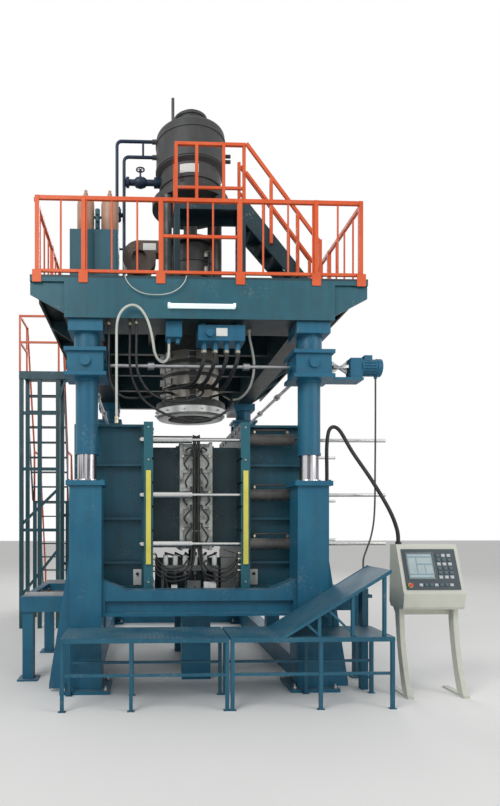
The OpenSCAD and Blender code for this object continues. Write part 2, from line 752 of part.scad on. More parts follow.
module side_shaft_right() { side_shaft(pillar_x); }

// Railing along one side: posts with feet, rails and balusters, from the origin along X
module rail_run(length, posts, balusters, mid = [0, 0]) {
    for (x = posts) {
        block([x - post_w / 2, x + post_w / 2], [-post_w / 2, post_w / 2], [0, rail_h]);
        block([x - 55, x + 55], [-post_w / 2 - 12, -post_w / 2], [-90, 60]);
    }
    block([0, length], [-20, 20], [rail_h - 45, rail_h]);
    block([0, length], [-16, 16], [40, 75]);
    block([mid[0], mid[1]], [-14, 14], [rail_h * 0.5, rail_h * 0.5 + 35]);
    for (i = [1 : balusters - 1]) bar_z(baluster_r, [i * length / balusters, 0], [60, rail_h - 30]);
}
module deck_railing() {
    side = wing_out - 60;
    front = beam_front + post_w / 2;
    back = deck_rear - 60;
    color("orangered") translate([0, 0, deck_z]) {
        translate([-side, front, 0])
            rail_run(2 * side, [25, side - 1420, side - 485, side + 485, side + 1420, 2 * side - 25],
                front_balusters, [side - 485, side + 485]);
        for (x = [-side, side]) translate([x, front, 0]) rotate([0, 0, 90])
            difference() {
                union() {
                    for (i = [1 : 5]) block([i * (back - front) / 5 - 25, i * (back - front) / 5 + 25], [-25, 25],
                        [0, rail_h]);
                    block([post_w / 2 + split, back - front], [-20, 20], [rail_h - 45, rail_h]);
                    block([post_w / 2 + split, back - front], [-16, 16], [40, 75]);
                    for (i = [1 : side_balusters - 1])
                        bar_z(baluster_r, [i * (back - front) / side_balusters, 0], [60, rail_h - 30]);
                }
                if (x < 0) block([landing_y - front + 60, landing_y - front + 640], [-30, 30], [30, rail_h + 1]);
            }
        translate([-side, back, 0]) {
            ends = [25 + split, 2 * side - 25 - split];
            block(ends, [-20, 20], [rail_h - 45, rail_h]);
            block(ends, [-16, 16], [40, 75]);
            for (i = [1 : front_balusters - 1])
                bar_z(baluster_r, [i * 2 * side / front_balusters, 0], [60, rail_h - 30]);
        }
    }
}

// Upper platform beside the head barrel, on its posts, with its stair down to the deck
module upper_platform() {
    stair_y = platform_y;
    rise = platform_z - deck_z;
    run = stair_foot - platform_x[1];
    steps = 6;
    color("darkslategray") {
        block(platform_x, platform_y, [platform_z - 40, platform_z]);
        for (y = [platform_y[0], platform_y[1] - 40]) block(platform_x, [y, y + 40], [platform_z - 140, platform_z - 40]);
        for (x = [platform_x[0], platform_x[1] - 70]) for (y = [platform_y[0], platform_y[1] - 70])
            block([x, x + 70], [y, y + 70], [deck_z, platform_z - 40]);
        for (y = [stair_y[0], stair_y[1] - 30])
            profile_xz([[platform_x[1], platform_z], [platform_x[1], platform_z - 330],
                [stair_foot - 250 * run / rise, deck_z], [stair_foot, deck_z]], [y, y + 30]);
        for (i = [1 : steps]) {
            z = platform_z - i * rise / (steps + 1);
            x = platform_x[1] + i * run / (steps + 1);
            block([x - 200, x - 10], [stair_y[0] + 30, stair_y[1] - 30], [z - 30, z]);
        }
    }
}

// Orange railing of the upper platform and the handrails of its stair
module upper_railing() {
    z = platform_z;
    top = 740;
    w = 40;
    rise = platform_z - deck_z;
    run = stair_foot - platform_x[1];
    posts = [platform_x[0], platform_x[0] + 270, platform_x[1] - 310, platform_x[1] - w];
    side = [platform_y[0] + w + split, platform_y[1]];
    color("orangered") {
        for (x = posts) block([x, x + w], [platform_y[0], platform_y[0] + w], [z, z + top]);
        block(platform_x, [platform_y[0], platform_y[0] + w], [z + top - w, z + top]);
        block(platform_x, [platform_y[0] + 6, platform_y[0] + w - 6], [z + 130, z + 165]);
        block([platform_x[0], platform_x[0] + w], side, [z + top - w, z + top]);
        block([platform_x[0] + 6, platform_x[0] + w - 6], side, [z + 130, z + 165]);
        block([platform_x[0], platform_x[0] + w], [platform_y[1] - w, platform_y[1]], [z, z + top]);
        block([platform_x[1] - w, platform_x[1]], [platform_y[1] - w, platform_y[1]], [z, z + top]);
        for (y = [platform_y[0] - w - split, platform_y[1]]) {
            slant_x([platform_x[1] - 10, z + top - w], [stair_foot - 75, deck_z + 700], w, [y, y + w]);
            slant_x([platform_x[1] - 10, z + 330], [stair_foot - 75, deck_z + 330], w - 10, [y + 4, y + w - 4]);
            for (part = [0.34, 0.68, 0.97]) {
                x = platform_x[1] + part * run;
                block([x - w, x], [y, y + w], [max(deck_z, z - part * rise - 160), z - part * rise + top - 40]);
            }
        }
    }
}

// Head body: lower die head, deck flange, storage cylinder with heater bands and four posts
module head_body() {
    low = die_z + 120;
    flange = deck_z + 80;
    top = deck_z + 1080;
    post = storage_r + 130;
    post_top = barrel_z - 90 - seat_gap;
    color("dimgray") translate([0, clamp_y, 0]) {
        difference() {
            union() {
                bar_z(die_ring_r, [0, 0], [low, low + 90]);
                bar_z(storage_r + 30, [0, 0], [low + 90, beam_z]);
                for (i = [0 : 3]) bar_z(storage_r + 42, [0, 0], [low + 130 + i * 180, low + 270 + i * 180]);
                bar_z(storage_r, [0, 0], [beam_z, deck_z]);
                bar_z(flange_r, [0, 0], [deck_z, flange]);
                bar_z(storage_r - 12, [0, 0], [flange, top - 70]);
                for (i = [0 : 3]) bar_z(storage_r, [0, 0], [flange + 40 + i * 210, flange + 220 + i * 210]);
                bar_z(storage_r + 60, [0, 0], [top - 70, top]);
                for (i = [0 : 15]) rotate([0, 0, i * 22.5]) translate([flange_r - 32, 0, flange])
                    cylinder(h = 26, r = 22, $fn = 6);
            }
            translate([0, 0, deck_z + 280]) cylinder(h = 1000, r = 250 + running_gap);
            translate([0, 0, low - 1]) cylinder(h = deck_z - low + 120, r = 60 + running_gap);
            bar_y(screw_bore_r, 0, [200, storage_r + 60], extruder_z);
        }
        for (turn = [45 : 90 : 315]) rotate([0, 0, turn]) {
            bar_z(62, [post, 0], [flange - 2, post_top]);
            bar_z(70, [post, 0], [flange, flange + 50]);
            bar_z(70, [post, 0], [post_top - 50, post_top]);
        }
    }
}

// Head barrel: bottom plate, cylinder with rounded shoulder, cap and side fittings
module head_barrel() {
    wall_top = barrel_z + barrel_h;
    inner = barrel_r - 125;
    foot_top = barrel_z + barrel_foot_h;
    roof = wall_top + shoulder_r;
    color("darkslategray") translate([0, clamp_y, 0]) {
        difference() {
            union() {
                rotate_extrude($fn = 72) polygon(concat(
                    [[0, barrel_z - 90], [barrel_r + 60, barrel_z - 90], [barrel_r + 60, barrel_z],
                        [barrel_foot_r, barrel_z], [barrel_foot_r, foot_top], [barrel_r, foot_top + 40],
                        [barrel_r, wall_top]],
                    [for (a = [10 : 10 : 80]) [barrel_r - shoulder_r + shoulder_r * cos(a), wall_top + shoulder_r * sin(a)]],
                    [[barrel_r - shoulder_r - 40, roof], [cap_r + 20, roof], [cap_r + 20, roof + 50],
                        [cap_r, roof + 50], [cap_r, roof + cap_h - 90], [cap_r + 15, roof + cap_h - 90],
                        [cap_r + 15, roof + cap_h - 50]],
                    [for (a = [0 : 15 : 75]) [cap_r - 65 + 50 * cos(a), roof + cap_h - 50 + 50 * sin(a)]],
                    [[cap_r - 80, roof + cap_h], [0, roof + cap_h]]));
                bar_z(barrel_foot_r + 18, [0, 0], [barrel_z + 150, barrel_z + 186]);
                for (z = [foot_top + 60, wall_top - 90]) bar_z(barrel_r + 10, [0, 0], [z, z + 36]);
                for (z = port_right_z) bar_x(26, [barrel_r - 10, barrel_r + 90], 0, z);
                for (z = port_left_z) bar_x(34, [-barrel_r - 60, -barrel_r + 10], 0, z);
            }
            bar_z(inner + running_gap, [0, 0], [barrel_z + 40, wall_top - 60]);
            bar_z(100 + running_gap, [0, 0], [barrel_z - 91, barrel_z + 41]);
            bar_z(stroke_rod_r + running_gap, stroke_rod_at, [wall_top - 61, roof + 1]);
        }
    }
}

// Head piston: plunger in the storage cylinder, rod, upper piston and the stroke rod beside the cap
module head_piston() {
    roof = barrel_z + barrel_h + shoulder_r;
    upper = barrel_z + barrel_h - 210;
    color("silver") translate([0, clamp_y, 0]) {
        bar_z(250, [0, 0], [deck_z + 830, deck_z + 1060]);
        bar_z(100, [0, 0], [deck_z + 1060, upper]);
        bar_z(barrel_r - 125, [0, 0], [upper, upper + 120]);
        bar_z(stroke_rod_r, stroke_rod_at, [upper + 120, roof + 430]);
    }
}

// Die ring with its adjusting screws, and the tapered mandrel with its control rod
module die_ring() {
    color("gainsboro") translate([0, clamp_y, 0]) {
        rotate_extrude($fn = 72) polygon([[die_r, die_z], [die_ring_r - 30, die_z], [die_ring_r, die_z + 30],
            [die_ring_r, die_z + 120], [die_r + 30, die_z + 120], [die_r + 30, die_z + 80]]);
        for (i = [0 : 11]) rotate([0, 0, i * 30 + 15]) bar_x(14, [die_ring_r - 6, die_ring_r + 34], 0, die_z + 75);
    }
}
module die_mandrel() {
    color("dimgray") translate([0, clamp_y, 0]) {
        rotate_extrude($fn = 72) polygon([[0, die_z - 6], [die_r - die_gap - 24, die_z - 6], [die_r - die_gap, die_z + 14],
            [die_r - die_gap, die_z + 40], [die_r - 150, die_z + 112], [60, die_z + 118], [60, deck_z + 60], [0, deck_z + 60]]);
    }
}

// Extruder barrel with its head flange, heater bands, feed block and supports
module extruder_barrel() {
    head = clamp_y + storage_r;
    outer = screw_bore_r + extruder_wall;
    band = (extruder_len - 260) / heater_bands;
    color("darkgray") difference() {
        union() {
            bar_y(outer, 0, [head, feed_y], extruder_z);
            bar_y(outer + 85, 0, [head, head + 60], extruder_z);
            bar_y(outer + 85, 0, [feed_y - 60, feed_y], extruder_z);
            for (i = [0 : heater_bands - 1])
                bar_y(outer + 32, 0, [head + 110 + i * band, head + 80 + (i + 1) * band], extruder_z);
            block([-210, 210], [feed_y, feed_y + 2 * feed_half], [extruder_z - 190, extruder_z + 190]);
            block([-170, 170], [feed_y + 40, feed_y + 2 * feed_half - 40], [deck_z, extruder_z - 190]);
            block([-60, 60], [head + extruder_len / 2 - 20, head + extruder_len / 2 + 20], [deck_z, extruder_z - outer + 10]);
        }
        bar_y(screw_bore_r, 0, [head - 1, feed_y + 2 * feed_half + 1], extruder_z);
        bar_z(70, [0, feed_y + feed_half], [extruder_z, extruder_z + 191]);
    }
}
module extruder_screw() {
    head = clamp_y + storage_r;
    root = screw_bore_r * 0.66;
    flight = screw_bore_r - 1.5;
    length = extruder_len + 2 * feed_half - 70;
    turns = 14;
    color("silver") translate([0, head + 30, extruder_z]) rotate([-90, 0, 0]) {
        cylinder(h = length, r = root);
        translate([0, 0, length]) cylinder(h = 160, r = root * 0.9);
        linear_extrude(length, twist = -360 * turns, slices = turns * 12, $fn = 4)
            polygon([[0, -9], [flight, -6], [flight, 6], [0, 9]]);
    }
}

// Extruder drive: gearbox with ribs on its base, motor with cooling fins and terminal box
module extruder_drive() {
    y = feed_y + 2 * feed_half;
    color("steelblue") difference() {
        union() {
            block([-330, 330], [y, y + 560], [deck_z + 90, extruder_z + 330]);
            block([-390, 390], [y, y + 1330], [deck_z, deck_z + 90]);
            for (x = [-300, -100, 100, 280]) block([x, x + 20], [y + 60, y + 500], [extruder_z + 330, extruder_z + 360]);
            bar_y(235, 0, [y + 560, y + 620], extruder_z);
            bar_y(210, 0, [y + 620, y + 1180], extruder_z);
            for (i = [0 : 23]) translate([0, y + 640, extruder_z]) rotate([0, i * 15, 0])
                translate([-5, 0, 200]) cube([10, 500, 32]);
            bar_y(228, 0, [y + 1180, y + 1320], extruder_z);
            block([-110, 110], [y + 760, y + 980], [extruder_z + 200, extruder_z + 330]);
            for (x = [-200, 140]) block([x, x + 60], [y + 700, y + 1100], [deck_z + 90, extruder_z - 120]);
        }
        bar_y(screw_bore_r * 0.66 * 0.9 + running_gap, 0, [y - 1, y + 200], extruder_z);
    }
}

// Material hopper over the feed throat, and its hinged lid
module hopper() {
    y = feed_y + feed_half;
    color("gainsboro") translate([0, y, 0]) {
        rotate_extrude($fn = 64) polygon([[70, hopper_z + 30], [95, hopper_z + 30], [95, hopper_z + 120],
            [hopper_r, hopper_z + 520], [hopper_r, hopper_top], [hopper_r - 6, hopper_top],
            [hopper_r - 6, hopper_z + 524], [70, hopper_z + 98]]);
        difference() {
            block([-170, 170], [-170, 170], [hopper_z, hopper_z + 30]);
            bar_z(70, [0, 0], [hopper_z - 1, hopper_z + 31]);
        }
        for (x = [-60, 40]) block([x, x + 20], [hopper_r - 2, hopper_r + 40], [hopper_top - 60, hopper_top + 26]);
        bar_x(9, [-60, 60], hopper_r + 28, hopper_top + 14);
    }
}
module hopper_lid() {
    y = feed_y + feed_half;
    color("gainsboro") translate([0, y, 0]) difference() {
        union() {
            bar_z(hopper_r + 6, [0, 0], [hopper_top, hopper_top + 8]);
            bar_z(40, [0, 0], [hopper_top + 8, hopper_top + 22]);
            block([-38, 38], [hopper_r - 40, hopper_r + 40], [hopper_top + 2, hopper_top + 26]);
            block([-50, 50], [-hopper_r - 16, 10 - hopper_r], [hopper_top + 2, hopper_top + 40]);
        }
        bar_x(9 + running_gap, [-61, 61], hopper_r + 28, hopper_top + 14);
        for (x = [-61, 39]) block([x, x + 22], [hopper_r - 7, hopper_r + 41], [hopper_top - 1, hopper_top + 9]);
    }
}

// Gas bottles on their cabinet, with domed ends and valve heads
module gas_bottles() {
    color("tan") for (x = bottle_x) translate([x, beam_front + 420, cabinet_top]) {
        rotate_extrude() polygon([[0, 0], [92, 0], [110, 24], [110, 400], [102, 450], [80, 488], [44, 506],
            [30, 512], [30, 550], [0, 550]]);
        bar_z(20, [0, 0], [548, 590]);
    }
}
module bottle_cabinet() {
    y = beam_front + 220;
    z = cabinet_top;
    left = bottle_x[0] - 180;
    right = bottle_x[1] + 115;
    doors = (right - left - 70) / 2;
    column = bottle_x[0] + 152;
    color("steelblue") {
        block([left, right], [y, y + 400], [deck_z + 40, z]);
        for (x = [left + 20, right - 80]) block([x, x + 60], [y + 20, y + 380], [deck_z, deck_z + 40]);
        for (x = [left + 25, left + 45 + doors]) block([x, x + doors], [y - 10, y], [deck_z + 80, z - 40]);
        bar_z(30, [column, y + 160], [z, z + 330]);
        for (i = [0 : 2]) bar_y(20, column, [y + 100, y + 160], z + 80 + i * 90);
        bar_x(16, [bottle_x[0] + 111, bottle_x[1] - 111], y + 200, z + 250);
    }
}

// Rigid pipes from the deck to the head barrel, with a valve
module pipe_loop(x, top, end) {
    bend = 70;
    r = 24;
    bar_z(r, [x, clamp_y], [deck_z, top - bend]);
    translate([x + bend, clamp_y, top - bend]) rotate([90, 0, 0]) rotate([0, 0, 90])
        rotate_extrude(angle = 90) translate([bend, 0]) circle(r = r);
    bar_x(r, [x + bend, end], clamp_y, top);
}
module head_pipes() {
    end = -barrel_r - 60;
    color("midnightblue") {
        pipe_loop(-1084, port_left_z[0], end);
        pipe_loop(-980, port_left_z[1], end);
        bar_z(16, [-700, clamp_y], [port_left_z[1] + 24, port_left_z[0] - 24]);
        bar_x(15, [-1061, -1003], clamp_y, 6100);
        bar_z(62, [-1084, clamp_y], [6520, 6680]);
        bar_x(30, [-1084, -1003], clamp_y, 6600);
        bar_y(14, -1084, [clamp_y - 141, clamp_y - 50], 6600);
        bar_y(60, -1084, [clamp_y - 155, clamp_y - 140], 6600);
        for (x = [-1084, -980]) bar_z(44, [x, clamp_y], [deck_z, deck_z + 16]);
    }
}

// Tube lamp on the front of the beam
module tube_lamp() {
    color("white") {
        block([-400, 420], [beam_front - 24, beam_front], [beam_z + 122, beam_z + 172]);
        for (x = [-400, 390]) block([x, x + 30], [beam_front - 66, beam_front - 24], [beam_z + 124, beam_z + 170]);
        bar_x(19, [-370, 390], beam_front - 46, beam_z + 147);
    }
}

// Blower on the deck: scroll housing, outlet, motor and feet
module deck_blower() {
    x = bottle_x[1] + 375;
    y = platform_y[0] + 30;
    z = deck_z + 500;
    color("dimgray") {
        difference() {
            union() {
                bar_y(220, x, [y, y + 190], z);
                block([x, x + 290], [y, y + 190], [z + 60, z + 220]);
                block([x + 290, x + 320], [y - 20, y + 210], [z + 40, z + 240]);
            }
            bar_y(95, x, [y - 1, y + 60], z);
            block([x + 240, x + 321], [y + 20, y + 170], [z + 80, z + 200]);
        }
        bar_y(120, x, [y + 190, y + 470], z);
        bar_y(128, x, [y + 470, y + 540], z);
        block([x - 200, x + 200], [y + 20, y + 500], [z - 290, z - 250]);
        block([x - 160, x + 160], [y + 40, y + 150], [z - 250, z - 150]);
        block([x - 90, x + 90], [y + 260, y + 430], [z - 250, z - 100]);
        for (i = [x - 180, x + 130], j = [y + 40, y + 430])
            block([i, i + 50], [j, j + 50], [deck_z, z - 290]);
    }
}

// Valve block under the deck, hung from the front beam
module valve_block() {
    y = beam_front + 90;
    color("steelblue") {
        block([-20, 560], [y, y + 320], [beam_z - 230, beam_z - 40]);
        for (x = [20, 460]) block([x, x + 60], [y + 60, y + 260], [beam_z - 40, beam_z]);
        for (i = [0 : 3]) bar_z(34, [60 + i * 140, y + 90], [beam_z - 330, beam_z - 230]);
        bar_y(46, 120, [y - 60, y], beam_z - 150);
        block([-420, -220], [y, y + 200], [beam_z - 190, beam_z]);
        for (x = [-380, -270]) bar_z(26, [x, y + 60], [beam_z - 260, beam_z - 190]);
    }
}

// Work steps in two sections: folded tread plates on tube frames
module work_step(x, legs) {
    y = [beam_front + 5 - step_d, beam_front + 5];
    leg_rows = [y[0] + 6, foot_front - leg_w - 6];
    block(x, y, [step_top - 8, step_top]);
    block(x, [y[0], y[0] + 6], [step_top - 50, step_top]);
    block(x, [y[1] - 6, y[1]], [step_top - 50, step_top]);
    for (leg = legs, at = leg_rows) {
        block([leg, leg + leg_w], [at, at + leg_w], [0, step_top - 8]);
        block([leg - 20, leg + leg_w + 20], [at - 6, at + leg_w + 6], [0, 8]);
    }
    for (at = leg_rows)
        block([legs[0], legs[len(legs) - 1]], [at + 6, at + leg_w - 6], [380, 410]);
    for (leg = legs) block([leg + 5, leg + leg_w - 5], y + [20, -20], [step_top - 40, step_top - 8]);
}
module work_steps() {
    color("steelblue") {
        work_step([-step_left, 245], [-step_left, -step_left + 750, 205]);
        work_step([265, step_right], [265, 1245, step_right - leg_w]);
    }
}

// Height just under the chute's sloped plate at a place along X
function chute_under(x) =
    step_top + (x - chute_x) * (chute_top - step_top) / (step_right - chute_x - 40) - 18.5 - split;

// Sloped chute plate over the right step, its frame and the hollow post behind it
module chute() {
    y = [beam_front + 5 - step_d, beam_front - 5];
    run = step_right - chute_x - 40;
    rise = chute_top - step_top;
    slope = atan2(rise, run);
    post = step_right - 50;
    post_top = 1250;
    color("steelblue") {
        profile_xz([[chute_x, step_top], [chute_x + 30, step_top], [chute_x + run, chute_top - 18],
            [chute_x + run, chute_top]], y);
        for (at = [y[0], y[1] - 6]) profile_xz([[chute_x, step_top], [chute_x + 60, step_top],
            [chute_x + run, chute_top - 34], [chute_x + run, chute_top + 8]], [at, at + 6]);
        for (at = [y[0] + 20, y[1] - 60]) {
            for (part = [0.365, 0.67, 0.96]) {
                x = chute_x + part * run;
                profile_xz([[x - 36, step_top], [x, step_top], [x, chute_under(x)], [x - 36, chute_under(x - 36)]],
                    [at, at + 36]);
            }
            for (part = [0.22, 0.42]) {
                x = chute_x + part * run;
                drop = part * rise;
                profile_xz([[x, chute_under(x)], [x + drop, step_top], [x + 26 + drop, step_top],
                    [x + 26, chute_under(x + 26)]], [at + 5, at + 31]);
            }
        }
        difference() {
            block([post - 45, post + 45], [y[1] + 60, y[1] + 150], [0, post_top]);
            block([post - 39, post + 39], [y[1] + 66, y[1] + 144], [30, post_top + 1]);
        }
        block([chute_x + 0.96 * run + split, post + 45], [y[1] - 60, y[1] + 61], [post_top - 100, post_top - 60]);
    }
}

// Access stair: two landings on legs, two flights with side strings and plate treads
module flight(y, z) {
    run = y[1] - y[0];
    rise = z[0] - z[1];
    for (x = [-stair_left, -stair_left + stair_w - 14])
        profile_yz([[y[0], z[0]], [y[0], z[0] - 260], [y[1] - 90, z[1]], [y[1] + 60, z[1]]], [x, x + 14]);
    for (i = [1 : stair_treads]) {
        at = i / (stair_treads + 1);
        block([-stair_left + 13, -stair_left + stair_w - 13],
            [y[0] + at * run - 110, y[0] + at * run + 60], [z[0] - at * rise - 26, z[0] - at * rise]);
    }
}
module stair_tower() {
    top = deck_z - 10;
    right = -stair_left + stair_w;
    gate = -wing_out - 40;
    reach = (top - low_landing_z) / tan(stair_slope);
    low = landing_y + landing_d + reach;
    foot = low + landing_d;
    leg = 76;
    color("darkslategray") {
        block([-stair_left, gate], [landing_y, landing_y + landing_d], [top - 40, top]);
        block([-stair_left, gate], [landing_y, landing_y + 20], [top - 150, top - 40]);
        block([-stair_left, right], [low, foot], [low_landing_z - 40, low_landing_z]);
        for (x = [-stair_left, -stair_left + stair_w / 2 - leg / 2, right - leg])
            block([x, x + leg], [landing_y + 20, landing_y + 20 + leg], [0, top - 40]);
        for (x = [-stair_left, right - leg]) {
            block([x, x + leg], [landing_y + landing_d - leg, landing_y + landing_d], [0, top - 40]);
            for (y = [low, foot - leg]) block([x, x + leg], [y, y + leg], [0, low_landing_z - 40]);
        }
        slant_x([-stair_left + leg / 2, 600], [right - leg / 2, 1500], 50, [landing_y + 30, landing_y + 80]);
        slant_x([-stair_left + leg / 2, 2000], [right - leg / 2, 2700], 50, [landing_y + 30, landing_y + 80]);
        slant_x([right - leg / 2, top - 600], [gate - 60, top - 50], 50, [landing_y + 30, landing_y + 80]);
        for (z = [1900, 3100, 4200]) block([-stair_left, right], [landing_y + 30, landing_y + 86], [z, z + 60]);
        for (z = [1200, 2200])
            block([right, -pillar_x - pillar_w / 2], [landing_y + landing_d - 68, landing_y + landing_d - 8], [z, z + 60]);
        flight([landing_y + landing_d, low], [top, low_landing_z]);
        flight([foot, foot + low_landing_z / tan(stair_slope)], [low_landing_z, 0]);
    }
}

// Handrail round the landings and down both flights
module stair_handrail() {
    newel = 930;
    top = deck_z - 10;
    right = -stair_left + stair_w;
    gate = -wing_out - 60;
    back = landing_y + landing_d;
    low = back + (top - low_landing_z) / tan(stair_slope);
    foot = low + landing_d;
    end = foot + low_landing_z / tan(stair_slope);
    w = 36;
    high = 1100;
    color("orangered") {
        for (x = [-stair_left, right - w, gate - w]) block([x, x + w], [landing_y, landing_y + w], [top, top + high]);
        block([-stair_left, -stair_left + w], [back - w, back], [top, top + high]);
        for (z = [high - w, high * 0.5]) {
            block([-stair_left, gate], [landing_y, landing_y + w], [top + z, top + z + w]);
            block([-stair_left, -stair_left + w], [landing_y, back], [top + z, top + z + w]);
        }
        block([right, gate], [back - w, back], [top + high - w, top + high]);
        for (x = [right, gate - w]) block([x, x + w], [back - w, back], [top, top + high]);
        for (x = [-stair_left + 14, right - w - 14]) {
            slant_y([back - w + 4, top + high - 20], [low + 4, low_landing_z + high - 20], w, [x, x + w]);
            slant_y([foot - w + 4, low_landing_z + high - 20], [end - 4, newel - 50], w, [x, x + w]);
            block([x, x + w], [low, foot], [low_landing_z + high - w, low_landing_z + high]);
            for (y = [low, foot - w]) block([x, x + w], [y, y + w], [low_landing_z, low_landing_z + high]);
            block([x, x + w], [end, end + w], [0, newel]);
        }
    }
}

// Operator console: housing with a leaning face on two forward-swept legs
module console_housing() {
    x = [console_x, console_x + console_w];
    face = (console_h - 30 - (console_z + 220)) * tan(panel_lean);
    front = console_y - face;
    low = 14;
    color("gainsboro") {
        difference() {
            profile_yz([[front, console_z + 30], [front + 20, console_z], [console_y + 160, console_z],
                [console_y + 200, console_z + 60], [console_y + 180, console_h - 20], [console_y + 160, console_h],
                [console_y + 20, console_h], [console_y, console_h - 30], [front, console_z + 220],
                [front - 24, console_z + 190]], x);
            on_panel() bar_y(14, 95, [-2, 90], 70);
        }
        for (side = [x[0] + 10, x[1] - 70]) {
            profile_yz(concat([[console_y + 120, console_z]],
                [for (i = [0 : low]) [console_y - 60 - 230 * pow(i / low, 2), console_z * (1 - i / low)]],
                [[console_y - 200, 0]],
                [for (i = [low - 1 : -1 : 1]) [console_y + 60 - 210 * pow(i / low, 1.6), console_z * (1 - i / low)]]),
                [side, side + 60]);
            block([side - 8, side + 68], [console_y - 300, console_y + 180], [0, 24]);
        }
        block([x[0] + 60, x[1] - 60], [console_y + 20, console_y + 40], [console_z - 90, console_z]);
    }
}

// The console's face: X across, Z up the slope and -Y outward, from the face's lower left corner
module on_panel() {
    face = (console_h - 30 - (console_z + 220)) * tan(panel_lean);
    translate([console_x, console_y - face, console_z + 220]) rotate(panel_slope) children();
}
module console_panel() {
    color("darkslategray") on_panel() {
        difference() {
            block([45, 45 + panel_w], [-12, -seat_gap], [16, 520]);
            block([95, 415], [-13, -6], [150, 470]);
            bar_y(11.5, 95, [-13, 1], 70);
        }
        for (i = [0 : 2], j = [0 : 5]) block([458, 500] + [i * 68, i * 68], [-16, -12], [150, 186] + [j * 54, j * 54]);
        for (i = [0 : 6]) block([200, 240] + [i * 62, i * 62], [-16, -12], [56, 88]);
    }
}
module console_screen() {
    color("lightcyan") on_panel() block([96, 414], [-9, -6], [151, 469]);
}
module emergency_button() {
    color("red") on_panel() {
        bar_y(11, 95, [-24, 30], 70);
        bar_y(22, 95, [-36, -22], 70);
    }
}

// Round sweep along route points: a smooth curve through them, with rings of equal size
function on_curve(p, i, t) =
    let (a = p[max(i - 1, 0)], b = p[i], c = p[i + 1], d = p[min(i + 2, len(p) - 1)])
    0.5 * ((2 * b) + (c - a) * t + (2 * a - 5 * b + 4 * c - d) * t * t + (3 * b - a - 3 * c + d) * t * t * t);
function curve(p, n) = concat([for (i = [0 : len(p) - 2], k = [0 : n - 1]) on_curve(p, i, k / n)], [p[len(p) - 1]]);
function unit(v) = v / norm(v);
module sweep(route, r, n, sides = 8) {
    path = curve(route, n);
    last = len(path) - 1;
    rings = [for (i = [0 : last])
        let (along = unit(path[min(i + 1, last)] - path[max(i - 1, 0)]), u = unit(cross(along, [0.02, 1, 0.03])),
            v = cross(along, u))
        for (k = [0 : sides - 1]) path[i] + r * (u * cos(360 * k / sides) + v * sin(360 * k / sides))];
    polyhedron(rings, concat([[for (k = [0 : sides - 1]) k]],
        [for (i = [0 : last - 1], k = [0 : sides - 1]) let (m = (k + 1) % sides)
            [i * sides + k, (i + 1) * sides + k, (i + 1) * sides + m, i * sides + m]],
        [[for (k = [sides - 1 : -1 : 0]) last * sides + k]]));
}

// Conduit from the right front pillar down to the top of the console
module console_conduit() {
    face = pillar_x + pillar_w / 2;
    color("black") {
        sweep(conduit_route, conduit_r, 5, 10);
        for (z = [2330, 2480])
            block([face, conduit_x + 8], [conduit_y - 32, conduit_y + 32], [z, z + 30]);
        bar_z(36, [console_x + 50, console_y + 60], [console_h, console_h + 30]);
    }
}

// Cable of the lift gearmotor, hanging into the hollow post behind the chute
module motor_cable() { color("dimgray") sweep(motor_route, motor_cable_r, 6); }

// Thin cable that hangs in a loop over the front of the deck
module signal_cable() { color("gainsboro") sweep(signal_route, signal_cable_r, 5); }

// Air hose that leaves the valve block, arches over the front of the beam and hangs to its coupling
module air_hose() {
    color("gainsboro") {
        sweep(air_route, air_hose_r, 5);
        bar_z(26, [-1015, -2725], [3250, 3340]);
    }
}

base_frame();
front_pillars();
rear_pillars();
guide_columns();
front_cross_beam();
clamp_bed();
slide_rails();
drive_cylinders();
work_steps();
chute();
stair_tower();
stair_handrail();
console_housing();
console_panel();
console_screen();
console_conduit();
blow_unit();
blow_pin();
emergency_button();
side_frame_left();
platen_left();
mould_half_left();
safety_bar_left();
tie_rods();
drive_rod_left();
side_frame_right();
platen_right();
mould_half_right();
safety_bar_right();
clamp_cylinders();
drive_rod_right();
front_beam();
deck_frame();
lift_jacks();
lift_gearmotor();
front_shaft();
side_shaft_left();
side_shaft_right();
deck_railing();
upper_platform();
upper_railing();
head_body();
head_barrel();
head_piston();
die_ring();
die_mandrel();
extruder_barrel();
extruder_screw();
extruder_drive();
hopper();
hopper_lid();
gas_bottles();
bottle_cabinet();
head_pipes();
tube_lamp();
deck_blower();
valve_block();
motor_cable();
signal_cable();
air_hose();
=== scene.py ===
"""Looks of a blow moulding machine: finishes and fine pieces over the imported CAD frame, in metres."""
import logging
import math
from dataclasses import dataclass
from enum import Enum
from itertools import product

import bmesh
import bpy
from mathutils import Matrix, Vector


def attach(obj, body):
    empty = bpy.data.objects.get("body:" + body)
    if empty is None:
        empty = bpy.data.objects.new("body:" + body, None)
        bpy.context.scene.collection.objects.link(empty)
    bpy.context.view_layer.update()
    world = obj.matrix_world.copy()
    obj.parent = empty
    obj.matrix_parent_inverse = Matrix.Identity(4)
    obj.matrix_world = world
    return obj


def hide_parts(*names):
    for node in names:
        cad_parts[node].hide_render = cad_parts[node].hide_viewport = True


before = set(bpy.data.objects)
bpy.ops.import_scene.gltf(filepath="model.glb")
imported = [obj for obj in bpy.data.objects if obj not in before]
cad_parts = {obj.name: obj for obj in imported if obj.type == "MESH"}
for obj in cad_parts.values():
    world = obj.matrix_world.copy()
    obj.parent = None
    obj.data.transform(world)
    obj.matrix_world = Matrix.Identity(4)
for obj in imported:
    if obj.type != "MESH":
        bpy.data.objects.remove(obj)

logging.basicConfig(level=logging.INFO, format="%(name)s: %(message)s")
log = logging.getLogger("machine")
Point = tuple[float, float, float]
Colour = tuple[float, float, float]
UP: Point = (0.0, 0.0, 1.0)
DOWN: Point = (0.0, 0.0, -1.0)
FRONT: Point = (0.0, -1.0, 0.0)
SCREEN_GAMMA = 2.2
SMOOTH_BELOW = math.radians(32)


